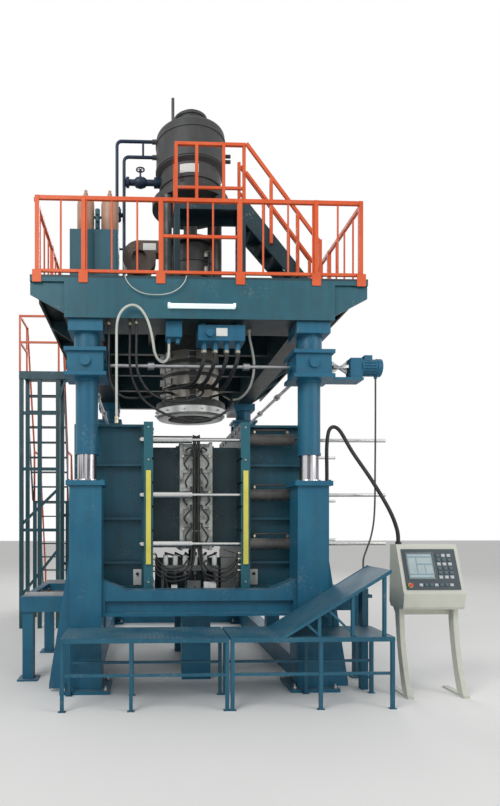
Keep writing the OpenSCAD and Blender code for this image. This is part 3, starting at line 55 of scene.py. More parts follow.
def rgb(red: int, green: int, blue: int) -> Colour:
    """Turns a screen colour into the linear colour that a shader takes.

    Args:
        red: Red from 0 to 255.
        green: Green from 0 to 255.
        blue: Blue from 0 to 255.

    Returns:
        The linear colour.
    """
    return tuple((c / 255) ** SCREEN_GAMMA for c in (red, green, blue))


class Value:
    """A node's output that takes part in sums and products, so that a formula reads as one."""

    def __init__(self, graph: "Graph", socket: bpy.types.NodeSocket) -> None:
        """Keeps the output.

        Args:
            graph: The graph that it belongs to.
            socket: The output.
        """
        self.graph, self.socket = graph, socket

    def __add__(self, other: object) -> "Value":
        """The sum."""
        return self.graph.math("ADD", self, other)

    def __sub__(self, other: object) -> "Value":
        """The difference."""
        return self.graph.math("SUBTRACT", self, other)

    def __rsub__(self, other: float) -> "Value":
        """A plain number less this."""
        return self.graph.math("SUBTRACT", other, self)

    def __mul__(self, other: object) -> "Value":
        """The product."""
        return self.graph.math("MULTIPLY", self, other)

    def __truediv__(self, other: object) -> "Value":
        """The quotient."""
        return self.graph.math("DIVIDE", self, other)


class Graph:
    """A node tree with short calls for its usual nodes."""

    def __init__(self, tree: bpy.types.NodeTree) -> None:
        """Keeps the tree.

        Args:
            tree: The tree that the nodes go into.
        """
        self.tree = tree

    def add(self, kind: str, **settings: object) -> bpy.types.Node:
        """Adds a node.

        Args:
            kind: The node's type.
            settings: Its properties.

        Returns:
            The node.
        """
        made = self.tree.nodes.new(kind)
        for key, value in settings.items():
            setattr(made, key, value)
        return made

    def feed(self, socket: bpy.types.NodeSocket, value: object) -> None:
        """Links or sets an input.

        Args:
            socket: The input.
            value: A value to link, or a plain number, vector or colour.
        """
        if isinstance(value, Value):
            self.tree.links.new(value.socket, socket)
        elif isinstance(value, tuple) and socket.type == "RGBA":
            socket.default_value = (*value[:3], 1.0)
        else:
            socket.default_value = value

    def node(self, kind: str, inputs: dict, output: int | str, **settings: object) -> Value:
        """Adds a node, feeds it and takes one of its outputs.

        Args:
            kind: The node's type.
            inputs: What goes into its inputs, by name or place.
            output: The output's name or place.
            settings: Its properties.

        Returns:
            The output.
        """
        made = self.add(kind, **settings)
        for key, value in inputs.items():
            self.feed(made.inputs[key], value)
        return Value(self, made.outputs[output])

    def math(self, operation: str, *values: object) -> Value:
        """A Math node over one or two values."""
        return self.node("ShaderNodeMath", dict(enumerate(values)), 0, operation=operation)

    def mix(self, share: object, first: object, second: object) -> Value:
        """A mix of two colours by a share."""
        return self.node("ShaderNodeMix", {0: share, 6: first, 7: second}, 2, data_type="RGBA")

    def noise(self, vector: Value, scale: object, detail: float = 3.0, rough: float = 0.55) -> Value:
        """A noise value around 0.5 at a scale in waves a metre."""
        given = {"Vector": vector, "Scale": scale, "Detail": detail, "Roughness": rough}
        return self.node("ShaderNodeTexNoise", given, "Fac")

    def step(self, value: Value, low: float, high: float) -> Value:
        """A smooth step from 0 at low to 1 at high."""
        return self.node("ShaderNodeMapRange", {0: value, 1: low, 2: high}, 0, interpolation_type="SMOOTHSTEP")

    def stretch(self, vector: Value, by: Point) -> Value:
        """A vector scaled along each axis."""
        return self.node("ShaderNodeVectorMath", {0: vector, 1: by}, 0, operation="MULTIPLY")

    def along(self, vector: Value, way: Point) -> Value:
        """How far a vector goes one way."""
        return self.node("ShaderNodeVectorMath", {0: vector, 1: way}, "Value", operation="DOT_PRODUCT")

    def place(self) -> Value:
        """The point on the piece in its own metres."""
        return self.node("ShaderNodeTexCoord", {}, "Object")

    def toward(self, way: Point) -> Value:
        """How far the surface faces one way, from -1 to 1."""
        return self.along(self.node("ShaderNodeNewGeometry", {}, "Normal"), way)

    def end(self, outputs: dict[str, Value]) -> bpy.types.NodeTree:
        """Gives a group its named outputs.

        Args:
            outputs: Their names with what they give out.

        Returns:
            The group.
        """
        for key, value in outputs.items():
            kind = "NodeSocketColor" if value.socket.type == "RGBA" else "NodeSocketFloat"
            self.tree.interface.new_socket(key, in_out="OUTPUT", socket_type=kind)
        go = self.add("NodeGroupOutput")
        for key, value in outputs.items():
            self.feed(go.inputs[key], value)
        return self.tree


def start_group(name: str, inputs: dict[str, object]) -> tuple[Graph, dict[str, Value]]:
    """Starts a shader node group with named inputs.

    Args:
        name: The group's name.
        inputs: Input names with their default values.

    Returns:
        The group's graph, and its inputs by name.
    """
    tree = bpy.data.node_groups.new(name, "ShaderNodeTree")
    for key, value in inputs.items():
        tinted = isinstance(value, tuple)
        kind = "NodeSocketColor" if tinted else "NodeSocketFloat"
        made = tree.interface.new_socket(key, in_out="INPUT", socket_type=kind)
        made.default_value = (*value, 1.0) if tinted else value
    graph = Graph(tree)
    return graph, {s.name: Value(graph, s) for s in graph.add("NodeGroupInput").outputs if s.name}


class Effects:
    """The shader node groups that several finishes share."""

    def __init__(self) -> None:
        """Builds each group once."""
        self.enamel = self.build_enamel()
        self.metal = self.build_metal()
        self.tread = self.build_tread()
        self.sheath = self.build_sheath()

    def build_enamel(self) -> bpy.types.NodeTree:
        """Brushed-on enamel: uneven coats, rain-like dirt streaks, settled dust and small chips."""
        graph, given = start_group("uneven_enamel", {
            "Paint": (0.1, 0.2, 0.3), "Faded Paint": (0.2, 0.3, 0.4), "Dirt": (0.05, 0.045, 0.04),
            "Dust": (0.45, 0.44, 0.42), "Bare Metal": (0.3, 0.29, 0.28), "Fade": 0.5, "Dirt Amount": 0.3,
            "Dust Amount": 0.25, "Chips": 0.3, "Base Roughness": 0.35,
        })
        place = graph.place()
        patches = graph.step(graph.noise(place, 1.7, 4.0), 0.34, 0.68)
        coats = graph.step(graph.noise(graph.stretch(place, (9.0, 9.0, 1.1)), 1.6), 0.3, 0.72)
        colour = graph.mix((patches * 0.65 + coats * 0.35) * given["Fade"], given["Paint"], given["Faded Paint"])
        runs = graph.step(graph.noise(graph.stretch(place, (16.0, 16.0, 0.8)), 1.0, 4.0, 0.6), 0.52, 0.8)
        soil = graph.step(graph.noise(place, 5.5, 5.0, 0.65), 0.45, 0.75)
        dirt = (runs + soil * 0.7) * given["Dirt Amount"]
        colour = graph.mix(graph.math("MINIMUM", dirt, 1.0), colour, given["Dirt"])
        level = graph.step(graph.toward(UP), 0.55, 0.98)
        dust = level * graph.step(graph.noise(place, 3.2, 4.0), 0.3, 0.7) * given["Dust Amount"]
        colour = graph.mix(dust, colour, given["Dust"])
        spots = graph.noise(place, 38.0, 3.0, 0.6) * graph.noise(place, 2.6, 2.0)
        chips = graph.step(spots, 0.375, 0.4) * given["Chips"]
        colour = graph.mix(chips, colour, given["Bare Metal"])
        rough = given["Base Roughness"] + (dirt + dust) * 0.35 + graph.noise(place, 21.0) * 0.12
        height = graph.noise(place, 55.0, 2.0) * 0.5 - chips
        return graph.end({"Colour": colour, "Roughness": rough, "Height": height})

    def build_metal(self) -> bpy.types.NodeTree:
        """Turned or ground metal: fine lines, oil stains, tarnish and upright streaks."""
        graph, given = start_group("worked_metal", {
            "Clean": (0.6, 0.6, 0.6), "Tarnish": (0.3, 0.29, 0.28), "Stain": (0.08, 0.07, 0.06), "Lines": 60.0,
            "Tarnish Amount": 0.4, "Stain Amount": 0.3, "Streaks": 0.0, "Base Roughness": 0.25,
        })
        place = graph.place()
        lines = graph.noise(graph.stretch(place, (1.0, 1.0, 6.0)), given["Lines"], 2.0)
        cloud = graph.step(graph.noise(place, 4.5, 5.0, 0.6), 0.35, 0.7)
        stain = graph.step(graph.noise(graph.stretch(place, (3.0, 3.0, 1.2)), 3.1, 5.0, 0.65), 0.5, 0.72)
        streaks = graph.step(graph.noise(graph.stretch(place, (1.0, 1.0, 0.02)), 21.0, 2.0), 0.44, 0.56)
        shade = (cloud * 0.7 + lines * 0.4) * given["Tarnish Amount"] + streaks * given["Streaks"]
        oily = stain * given["Stain Amount"]
        colour = graph.mix(graph.math("MINIMUM", shade, 1.0), given["Clean"], given["Tarnish"])
        rough = given["Base Roughness"] + (shade + oily) * 0.3
        return graph.end({"Colour": graph.mix(oily, colour, given["Stain"]), "Roughness": rough, "Height": lines})

    def build_tread(self) -> bpy.types.NodeTree:
        """Raised lozenges of a tread plate, on faces that look up, and where they are rubbed bare."""
        graph, given = start_group("tread_plate", {"Pitch": 0.06, "Wear": 0.4})
        place = graph.place()
        along, across = (graph.along(place, way) / given["Pitch"] for way in ((1.0, 0.0, 0.0), (0.0, 1.0, 0.0)))
        cell = graph.math("ABSOLUTE", graph.math("FLOOR", along) + graph.math("FLOOR", across))
        turn = graph.math("MODULO", cell, 2.0) * 2.0 - 1.0
        in_x = graph.math("FRACT", along) - 0.5
        in_y = (graph.math("FRACT", across) - 0.5) * turn
        length, width = (in_x + in_y) * 1.5, (in_x - in_y) * 5.0
        lozenge = 1.0 - graph.step(length * length + width * width, 0.55, 1.0)
        mask = lozenge * graph.step(graph.toward(UP), 0.9, 0.99)
        worn = graph.step(graph.noise(place, 1.3), 0.4, 0.65)
        return graph.end({"Mask": mask, "Rub": mask * worn * given["Wear"]})

    def build_sheath(self) -> bpy.types.NodeTree:
        """Rubber or plastic sheath: matt, with rubbed and dusty places."""
        graph, given = start_group("rubbed_sheath", {
            "Sheath": (0.02, 0.02, 0.02), "Rubbed": (0.1, 0.1, 0.1), "Amount": 0.5, "Base Roughness": 0.5})
        place = graph.place()
        rubbed = graph.step(graph.noise(place, 9.0, 4.0, 0.6), 0.42, 0.7) * given["Amount"]
        colour = graph.mix(rubbed, given["Sheath"], given["Rubbed"])
        rough = given["Base Roughness"] + rubbed * 0.2
        return graph.end({"Colour": colour, "Roughness": rough, "Height": graph.noise(place, 140.0, 2.0)})


class Skin:
    """A material on its way: its graph, its shader and what the shared effects give it."""

    def __init__(self, name: str) -> None:
        """Starts the material.

        Args:
            name: Its name.
        """
        self.made = bpy.data.materials.new(name)
        self.made.use_nodes = True
        self.graph = Graph(self.made.node_tree)
        self.shader = self.made.node_tree.nodes["Principled BSDF"]

    def effect(self, tree: bpy.types.NodeTree, given: dict[str, object]) -> dict[str, Value]:
        """Adds a shared effect.

        Args:
            tree: The effect's group.
            given: What goes into its inputs.

        Returns:
            Its outputs by name.
        """
        made = self.graph.add("ShaderNodeGroup", node_tree=tree)
        for key, value in given.items():
            self.graph.feed(made.inputs[key], value)
        return {s.name: Value(self.graph, s) for s in made.outputs}

    def finish(self, out: dict[str, Value], bump: float, depth: float, rest: dict[str, object]) -> bpy.types.Material:
        """Feeds the shader.

        Args:
            out: Colour, roughness and height by name.
            bump: The strength of the bump.
            depth: The depth of the bump.
            rest: The shader's other inputs.

        Returns:
            The material.
        """
        lift = self.graph.node("ShaderNodeBump", {"Strength": bump, "Distance": depth, "Height": out["Height"]}, 0)
        rest = {"Base Color": out["Colour"], "Roughness": out["Roughness"], "Normal": lift, **rest}
        for key, value in rest.items():
            self.graph.feed(self.shader.inputs[key], value)
        return self.made


@dataclass(frozen=True)
class Enamel:
    """A painted finish: its paint, how it has faded, what lies on it, and a second colour on the faces turned one way
    that is painted light and shade, not paint.
    """

    name: str
    paint: Colour
    faded: Colour
    dirt: float = 0.3
    dust: float = 0.25
    chips: float = 0.25
    fade: float = 0.6
    gloss: float = 0.34
    tread: float = 0.0
    # turned is painted light and shade: the colour that faces pointing along way, beyond the distance past, take in
    # place of the paint.
    turned: Colour | None = None
    way: Point = FRONT
    past: float = -100.0

    def build(self, effects: Effects) -> bpy.types.Material:
        """Makes the material.

        Args:
            effects: The shared groups.

        Returns:
            The material.
        """
        skin, paint, faded, bump = Skin(self.name), self.paint, self.faded, 0.12
        graph = skin.graph
        # Painted light and shade: faces that point along way, beyond past, take the turned colour instead of the paint.
        if self.turned:
            painted_shading_mask = graph.step(graph.toward(self.way), 0.75, 0.95)
            painted_shading_mask = painted_shading_mask * graph.step(graph.along(graph.place(), self.way), self.past, self.past + 0.01)
            paint, faded = (graph.mix(painted_shading_mask, coat, self.turned) for coat in (paint, faded))
        out = skin.effect(effects.enamel, {
            "Paint": paint, "Faded Paint": faded, "Fade": self.fade, "Dirt Amount": self.dirt,
            "Dust Amount": self.dust, "Chips": self.chips, "Base Roughness": self.gloss})
        if self.tread > 0:
            plate = skin.effect(effects.tread, {"Pitch": self.tread})
            out["Colour"] = graph.mix(plate["Rub"], out["Colour"], (0.42, 0.42, 0.41))
            out["Height"] = out["Height"] * 0.2 + plate["Mask"] * 2.0
            bump = 0.6
        return skin.finish(out, bump, 0.002, {"Specular IOR Level": 0.3, "Coat Weight": 0.04, "Coat Roughness": 0.25})


@dataclass(frozen=True)
class Metal:
    """A bare metal finish: its clean and tarnished colour, its lines, stains and streaks."""

    name: str
    clean: Colour
    tarnish: Colour
    lines: float = 60.0
    tarnished: float = 0.4
    stained: float = 0.3
    gloss: float = 0.25
    metallic: float = 1.0
    streaks: float = 0.0

    def build(self, effects: Effects) -> bpy.types.Material:
        """Makes the material.

        Args:
            effects: The shared groups.

        Returns:
            The material.
        """
        skin = Skin(self.name)
        out = skin.effect(effects.metal, {
            "Clean": self.clean, "Tarnish": self.tarnish, "Lines": self.lines, "Tarnish Amount": self.tarnished,
            "Stain Amount": self.stained, "Streaks": self.streaks, "Base Roughness": self.gloss})
        return skin.finish(out, 0.08, 0.001, {"Metallic": self.metallic})


@dataclass(frozen=True)
class Sheath:
    """A rubber or plastic finish, and its glow if it is lit."""

    name: str
    sheath: Colour
    rubbed: Colour
    amount: float = 0.5
    gloss: float = 0.5
    glow: float = 0.0

    def build(self, effects: Effects) -> bpy.types.Material:
        """Makes the material.

        Args:
            effects: The shared groups.

        Returns:
            The material.
        """
        skin = Skin(self.name)
        out = skin.effect(effects.sheath, {
            "Sheath": self.sheath, "Rubbed": self.rubbed, "Amount": self.amount, "Base Roughness": self.gloss})
        lit = {"Emission Color": out["Colour"], "Emission Strength": self.glow} if self.glow > 0 else {}
        return skin.finish(out, 0.1, 0.001, lit)


class Finish(Enum):
    """The finishes of the machine."""

    FRAME = Enamel("frame_enamel", rgb(32, 92, 120), rgb(48, 112, 136), dirt=0.26, chips=0.16)
    CLAMP = Enamel("clamp_enamel", rgb(34, 78, 94), rgb(48, 98, 114), dirt=0.36, chips=0.18)
    # Deck: the turned colour is painted shade, a darker paint on every face that looks down.
    DECK = Enamel("deck_enamel", rgb(38, 84, 98), rgb(54, 102, 114), turned=rgb(24, 42, 48), way=DOWN)
    # Deck floor: the paint is partly its own dark teal and partly darkened as painted shade under the deck; the turned
    # colour is painted shade on the faces that look down.
    FLOOR = Enamel("deck_floor_enamel", rgb(34, 58, 66), rgb(48, 76, 84), dirt=0.4, tread=0.07,
                   turned=rgb(12, 18, 22), way=DOWN)
    STEP = Enamel("step_enamel", rgb(34, 86, 108), rgb(50, 106, 128), dirt=0.26, dust=0.12, tread=0.05)
    # Platens: the dark paint is painted shade on the inner faces; the turned colour is the lit teal paint, put only on
    # the front faces at the front edge.
    PLATEN = Enamel("platen_enamel", rgb(28, 50, 58), rgb(42, 68, 76), dirt=0.38, turned=rgb(42, 98, 110), past=2.1)
    DARK = Enamel("dark_enamel", rgb(28, 50, 58), rgb(42, 68, 76), dirt=0.38)
    STAIR = Enamel("stair_enamel", rgb(30, 70, 80), rgb(46, 88, 96), tread=0.05)
    BARREL = Enamel("barrel_enamel", rgb(62, 64, 65), rgb(84, 82, 82), dirt=0.4, gloss=0.45)
    ORANGE = Enamel("orange_enamel", rgb(210, 86, 46), rgb(222, 112, 72), dirt=0.16, dust=0.15, chips=0.35)
    YELLOW = Enamel("yellow_enamel", rgb(214, 204, 84), rgb(224, 214, 120), dirt=0.2, chips=0.3)
    CREAM = Enamel("cream_powder_coat", rgb(196, 198, 186), rgb(206, 207, 197), dirt=0.1, dust=0.1, chips=0.08,
                   gloss=0.42)
    WHITE = Enamel("white_cover", rgb(214, 216, 212), rgb(224, 225, 221), dirt=0.12, chips=0.05, gloss=0.4)
    TAN = Enamel("bottle_enamel", rgb(168, 132, 112), rgb(184, 150, 128), dirt=0.25)
    NAVY = Enamel("pipe_enamel", rgb(30, 46, 68), rgb(46, 64, 86), dirt=0.25)
    GREY = Enamel("grey_enamel", rgb(92, 96, 96), rgb(112, 116, 114))
    OILED = Enamel("oiled_enamel", rgb(70, 63, 58), rgb(118, 102, 90), dirt=0.45, gloss=0.24)
    CYLINDER = Enamel("cylinder_enamel", rgb(64, 64, 64), rgb(120, 116, 112), dirt=0.45, gloss=0.18)
    CHROME = Metal("hard_chrome", rgb(206, 206, 210), rgb(96, 92, 96), 24.0, 0.2, 0.15, 0.14, streaks=0.8)
    STEEL = Metal("machined_steel", rgb(176, 178, 180), rgb(120, 120, 120), 70.0, 0.5, 0.25, 0.3)
    ROD = Metal("ground_rod", rgb(206, 208, 206), rgb(150, 150, 146), 50.0, 0.3, 0.2, 0.2)
    MOULD = Metal("milled_mould", rgb(176, 180, 176), rgb(84, 88, 86), 26.0, 0.8, 0.9, 0.4, 0.7)
    HEAD = Metal("heated_steel", rgb(92, 94, 94), rgb(54, 54, 52), 22.0, 0.7, 0.6, 0.45, 0.7)
    BAND = Metal("heater_band", rgb(168, 166, 160), rgb(124, 112, 98), 44.0, 0.6, 0.35, 0.35)
    DIE = Metal("ground_die", rgb(222, 224, 222), rgb(170, 170, 166), 60.0, 0.3, 0.18, 0.3, 0.6)
    STAINLESS = Metal("rolled_stainless", rgb(202, 204, 205), rgb(160, 162, 162), 90.0, 0.3, 0.1, 0.28)
    FITTING = Metal("plated_fitting", rgb(196, 190, 172), rgb(150, 140, 120), 80.0, 0.4, 0.3, 0.3)
    RUBBER = Sheath("black_rubber", rgb(26, 27, 29), rgb(62, 62, 62))
    CABLE = Sheath("dark_cable", rgb(52, 54, 56), rgb(84, 84, 82))
    PALE = Sheath("pale_hose", rgb(188, 192, 184), rgb(160, 162, 152), gloss=0.4)
    PANEL = Sheath("panel_foil", rgb(30, 48, 58), rgb(44, 64, 74), 0.4, 0.42)
    KEY = Sheath("key_cap", rgb(178, 184, 186), rgb(150, 156, 158), 0.3, 0.4)
    DARK_KEY = Sheath("dark_key_cap", rgb(58, 84, 92), rgb(80, 104, 110), 0.3, 0.4)
    RED = Sheath("red_cap", rgb(190, 30, 24), rgb(206, 60, 48), 0.3, 0.3)
    SCREEN = Sheath("lit_screen", rgb(96, 126, 138), rgb(116, 146, 156), 0.8, 0.2, 0.05)
    FIELD = Sheath("screen_field", rgb(150, 166, 168), rgb(136, 156, 162), 0.8, 0.25, 0.04)
    LAMP = Sheath("lamp_diffuser", rgb(226, 240, 240), rgb(236, 246, 246), 0.4, 0.3, 0.5)


class Paintbox:
    """Every finish as a material, made when first asked for."""

    def __init__(self) -> None:
        """Builds the shared groups."""
        self.effects = Effects()
        self.made: dict[Finish, bpy.types.Material] = {}

    def get(self, finish: Finish) -> bpy.types.Material:
        """The material of a finish."""
        if finish not in self.made:
            self.made[finish] = finish.value.build(self.effects)
        return self.made[finish]

    def put(self, form: "Form", name: str, finish: Finish, body: str = "platform") -> bpy.types.Object:
        """Turns a form into a piece with a finish.

        Args:
            form: The form.
            name: The piece's name.
            finish: Its finish.
            body: The CAD body that carries it.

        Returns:
            The object.
        """
        return form.piece(name, body, self.get(finish))


def circle(centre: Vector, side: Vector, other: Vector, radius: float, sides: int) -> list[Vector]:
    """Points on a circle.

    Args:
        centre: Its centre.
        side: A unit vector in its plane.
        other: The unit vector square to that one.
        radius: Its radius.
        sides: How many points.

    Returns:
        The points.
    """
    turns = (math.tau * i / sides for i in range(sides))
    return [centre + radius * (side * math.cos(a) + other * math.sin(a)) for a in turns]


def polar(y: float, radius: float, angle: float) -> tuple[float, float]:
    """The X and Y of a point round an upright axis that stands at X 0."""
    return radius * math.cos(angle), y + radius * math.sin(angle)


def flip(side: int, points: list[Point]) -> list[Point]:
    """Points for the left half, -1, or the right half, 1, of something that is the same on both sides."""
    return [(side * x, y, z) for x, y, z in points]


def smooth_line(points: list[Point], steps: int) -> list[Point]:
    """Runs a smooth curve through points, as the CAD model's cords do.

    Args:
        points: The points.
        steps: Steps between two points.

    Returns:
        The points of the curve.
    """
    p = [Vector(q) for q in points]
    line = []
    for i in range(len(p) - 1):
        a, b, c, d = p[max(i - 1, 0)], p[i], p[i + 1], p[min(i + 2, len(p) - 1)]
        for t in (k / steps for k in range(steps)):
            line.append(tuple(0.5 * ((2 * b) + (c - a) * t + (2 * a - 5 * b + 4 * c - d) * t * t
                                     + (3 * b - a - 3 * c + d) * t ** 3)))
    line.append(tuple(p[-1]))
    return line


class Form:
    """The mesh of one piece, put together from shaped parts in metres."""

    def __init__(self) -> None:
        """Starts an empty mesh."""
        self.mesh = bmesh.new()

    def block(self, low: Point, high: Point, edge: float = 0.002) -> "Form":
        """Adds a block with rounded edges.

        Args:
            low: Its lowest corner.
            high: Its highest corner.
            edge: The radius of its edges.

        Returns:
            This form.
        """
        size = [h - l for l, h in zip(low, high)]
        centre = [(h + l) / 2 for l, h in zip(low, high)]
        matrix = Matrix.Translation(centre) @ Matrix.Diagonal((*size, 1.0))
        made = bmesh.ops.create_cube(self.mesh, size=1.0, matrix=matrix)["verts"]
        if edge > 0:
            edges = list({e for v in made for e in v.link_edges})
            bmesh.ops.bevel(self.mesh, geom=edges, offset=min(edge, min(size) * 0.3), segments=2, profile=0.5,
                            affect="EDGES", clamp_overlap=True)
        return self

    def loft(self, rings: list[list[Vector]], endless: bool = False) -> "Form":
        """Adds a skin over rings of equally many points.

        Args:
            rings: The rings in order.
            endless: Whether the last ring joins the first, instead of a flat face at each end.

        Returns:
            This form.
        """
        rows = [[self.mesh.verts.new(point) for point in ring] for ring in rings]
        for low, high in zip(rows, rows[1:] + (rows[:1] if endless else [])):
            for i in range(len(low)):
                j = (i + 1) % len(low)
                self.mesh.faces.new((low[i], low[j], high[j], high[i]))
        if not endless:
            self.mesh.faces.new(rows[0][::-1])
            self.mesh.faces.new(rows[-1])
        return self

    def turned(self, start: Point, end: Point, profile: list[tuple[float, float]], sides: int = 28,
               endless: bool = False) -> "Form":
        """Adds a turned part along a line.

        Args:
            start: Where the line starts.
            end: Where it ends.
            profile: Pairs of a share of the line and a radius.
            sides: Sides around.
            endless: Whether the profile closes on itself, as that of a ring does.

        Returns:
            This form.
        """
        a, b = Vector(start), Vector(end)
        turn = (b - a).to_track_quat("Z", "Y").to_matrix()
        return self.loft([circle(a + (b - a) * share, turn.col[0], turn.col[1], radius, sides)
                          for share, radius in profile], endless)

    def rod(self, start: Point, end: Point, radius: float, sides: int = 24, edge: float = 0.0015) -> "Form":
        """Adds a round bar with broken edges between two points."""
        length = max((Vector(end) - Vector(start)).length, 1e-6)
        cut = min(edge, radius * 0.3, length * 0.3)
        share, slim = cut / length, radius - cut
        return self.turned(start, end, [(0, slim), (share, radius), (1 - share, radius), (1, slim)], sides)

    def hexagon(self, start: Point, end: Point, radius: float) -> "Form":
        """Adds a hexagon nut or bolt head between two points."""
        return self.turned(start, end, [(0, radius), (0.8, radius), (1, radius * 0.88)], 6)

    def washer(self, start: Point, end: Point, inner: float, outer: float) -> "Form":
        """Adds a flat ring between two points."""
        return self.turned(start, end, [(0, inner), (0, outer), (1, outer), (1, inner)], 32, True)

    def tube(self, points: list[Point], radius: float, sides: int) -> "Form":
        """Adds a tube along points.

        Args:
            points: Its centre line.
            radius: Its radius.
            sides: Sides around.

        Returns:
            This form.
        """
        line = [Vector(p) for p in points]
        rings, side = [], (line[1] - line[0]).normalized().orthogonal().normalized()
        for before, at, after in zip(line[:1] + line, line, line[1:] + line[-1:]):
            along = (after - before).normalized()
            side = (side - along * side.dot(along)).normalized()
            rings.append(circle(at, side, along.cross(side), radius, sides))
        return self.loft(rings)

    def hose(self, points: list[Point], radius: float, sides: int = 10, steps: int = 6) -> "Form":
        """Adds a hose on a smooth curve through points.

        Args:
            points: The points.
            radius: Its radius.
            sides: Sides around.
            steps: Steps between two points.

        Returns:
            This form.
        """
        return self.tube(smooth_line(points, steps), radius, sides)

    def curved(self, centre: Point, radius: float, turns: tuple[float, float], height: float, thick: float) -> "Form":
        """Adds an upright plate bent round a drum.

        Args:
            centre: The drum's centre at the plate's lower edge.
            radius: The plate's inner radius.
            turns: Where it starts and ends round the drum, in radians.
            height: Its height.
            thick: Its thickness.

        Returns:
            This form.
        """
        section = ((radius, 0), (radius + thick, 0), (radius + thick, height), (radius, height))
        steps = max(4, int(abs(turns[1] - turns[0]) / 0.09))
        angles = (turns[0] + (turns[1] - turns[0]) * i / steps for i in range(steps + 1))
        return self.loft([[Vector(centre) + Vector((r * math.cos(a), r * math.sin(a), z)) for r, z in section]
                          for a in angles])

    def moved(self, matrix: Matrix) -> "Form":
        """Carries all that is built so far by a matrix."""
        bmesh.ops.transform(self.mesh, matrix=matrix, verts=self.mesh.verts)
        return self

    def piece(self, name: str, body: str, material: bpy.types.Material) -> bpy.types.Object:
        """Turns the mesh into a piece that rides on a body.

        Args:
            name: The piece's name.
            body: The CAD body that carries it.
            material: Its material.

        Returns:
            The object.
        """
        bmesh.ops.recalc_face_normals(self.mesh, faces=self.mesh.faces)
        data = bpy.data.meshes.new(name)
        self.mesh.to_mesh(data)
        self.mesh.free()
        data.polygons.foreach_set("use_smooth", [True] * len(data.polygons))
        data.set_sharp_from_angle(angle=SMOOTH_BELOW)
        data.materials.append(material)
        made = bpy.data.objects.new(name, data)
        bpy.context.scene.collection.objects.link(made)
        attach(made, body)
        log.info("piece %s on %s, %d faces", name, body, len(data.polygons))
        return made


@dataclass
class Cord:
    """A free cable or hose: its node, route, thickness and ends."""

    node: str
    points: list[Point]
    radius: float
    finish: Finish
    stiffness: str = "medium"
    far_end: str = "object"
    body: str = "platform"
    steps: int = 8
    sides: int = 14

    def build(self, box: Paintbox, with_pieces: tuple = ()) -> bpy.types.Object:
        """Builds the cord over its CAD solid.

        Args:
            box: The finishes.
            with_pieces: Pieces that go with it; not used.

        Returns:
            The cord.
        """
        line = smooth_line(self.points, self.steps)
        made = box.put(Form().tube(line, self.radius, self.sides), self.node + "_sheath", self.finish, self.body)
        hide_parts(self.node)
        self.radius * 2
        return made


@dataclass
class Cords:
    """The cords of the machine."""

    shaft_z: float = 4.0302
    gland: float = 0.1353
    motor_r: float = 0.011
    signal_r: float = 0.006
    air_r: float = 0.016

    def build(self, box: Paintbox) -> None:
        """Builds the cords.

        Args:
            box: The finishes.
        """
        motor = [(2.254, -2.4, self.shaft_z - self.gland), (2.254, -2.4, 3.5), (2.252, -2.402, 3.1), (2.246, -2.408, 2.7),
                 (2.238, -2.422, 2.35), (2.212, -2.448, 2.08), (2.16, -2.482, 1.88), (2.096, -2.518, 1.74),
                 (2.052, -2.542, 1.64), (2.04, -2.545, 1.56), (2.04, -2.545, 1.3), (2.04, -2.545, 0.9),
                 (2.04, -2.545, 0.5)]
        signal = [(-0.92, -2.56, 5.057), (-0.92, -2.636, 5.061), (-0.914, -2.675, 5.034), (-0.89, -2.682, 4.97),
                  (-0.82, -2.684, 4.89), (-0.7, -2.684, 4.83), (-0.545, -2.684, 4.812), (-0.39, -2.684, 4.83),
                  (-0.27, -2.684, 4.89), (-0.2, -2.682, 4.97), (-0.176, -2.675, 5.034), (-0.17, -2.636, 5.061),
                  (-0.17, -2.56, 5.057)]
        air = [(-0.38, -2.5, 4.279), (-0.38, -2.5, 4.2), (-0.39, -2.515, 4.115), (-0.425, -2.555, 4.05),
               (-0.475, -2.612, 4.025), (-0.525, -2.67, 4.05), (-0.56, -2.71, 4.115), (-0.575, -2.725, 4.2),
               (-0.59, -2.725, 4.29), (-0.61, -2.725, 4.38), (-0.637, -2.725, 4.468), (-0.675, -2.725, 4.55),
               (-0.725, -2.725, 4.62), (-0.79, -2.725, 4.662), (-0.86, -2.725, 4.662), (-0.925, -2.725, 4.625),
               (-0.975, -2.725, 4.56), (-1.003, -2.725, 4.48), (-1.013, -2.725, 4.395), (-1.015, -2.725, 4.305),
               (-1.015, -2.725, 4.2), (-1.015, -2.725, 3.9), (-1.015, -2.725, 3.6), (-1.015, -2.725, 3.34)]
        coupling = Form().turned(air[-1], (-1.015, -2.725, 3.25), [
            (0, 0.02), (0.1, 0.026), (0.4, 0.026), (0.42, 0.022), (0.55, 0.022), (0.57, 0.026), (0.95, 0.026), (1, 0.023)])
        plug = box.put(coupling, "air_hose_coupling", Finish.FITTING)
        Cord("motor_cable", motor, self.motor_r, Finish.CABLE).build(box)
        Cord("signal_cable", signal, self.signal_r, Finish.PALE, "limp").build(box)
        Cord("air_hose", air, self.air_r, Finish.PALE, far_end="fitting").build(box, (plug,))


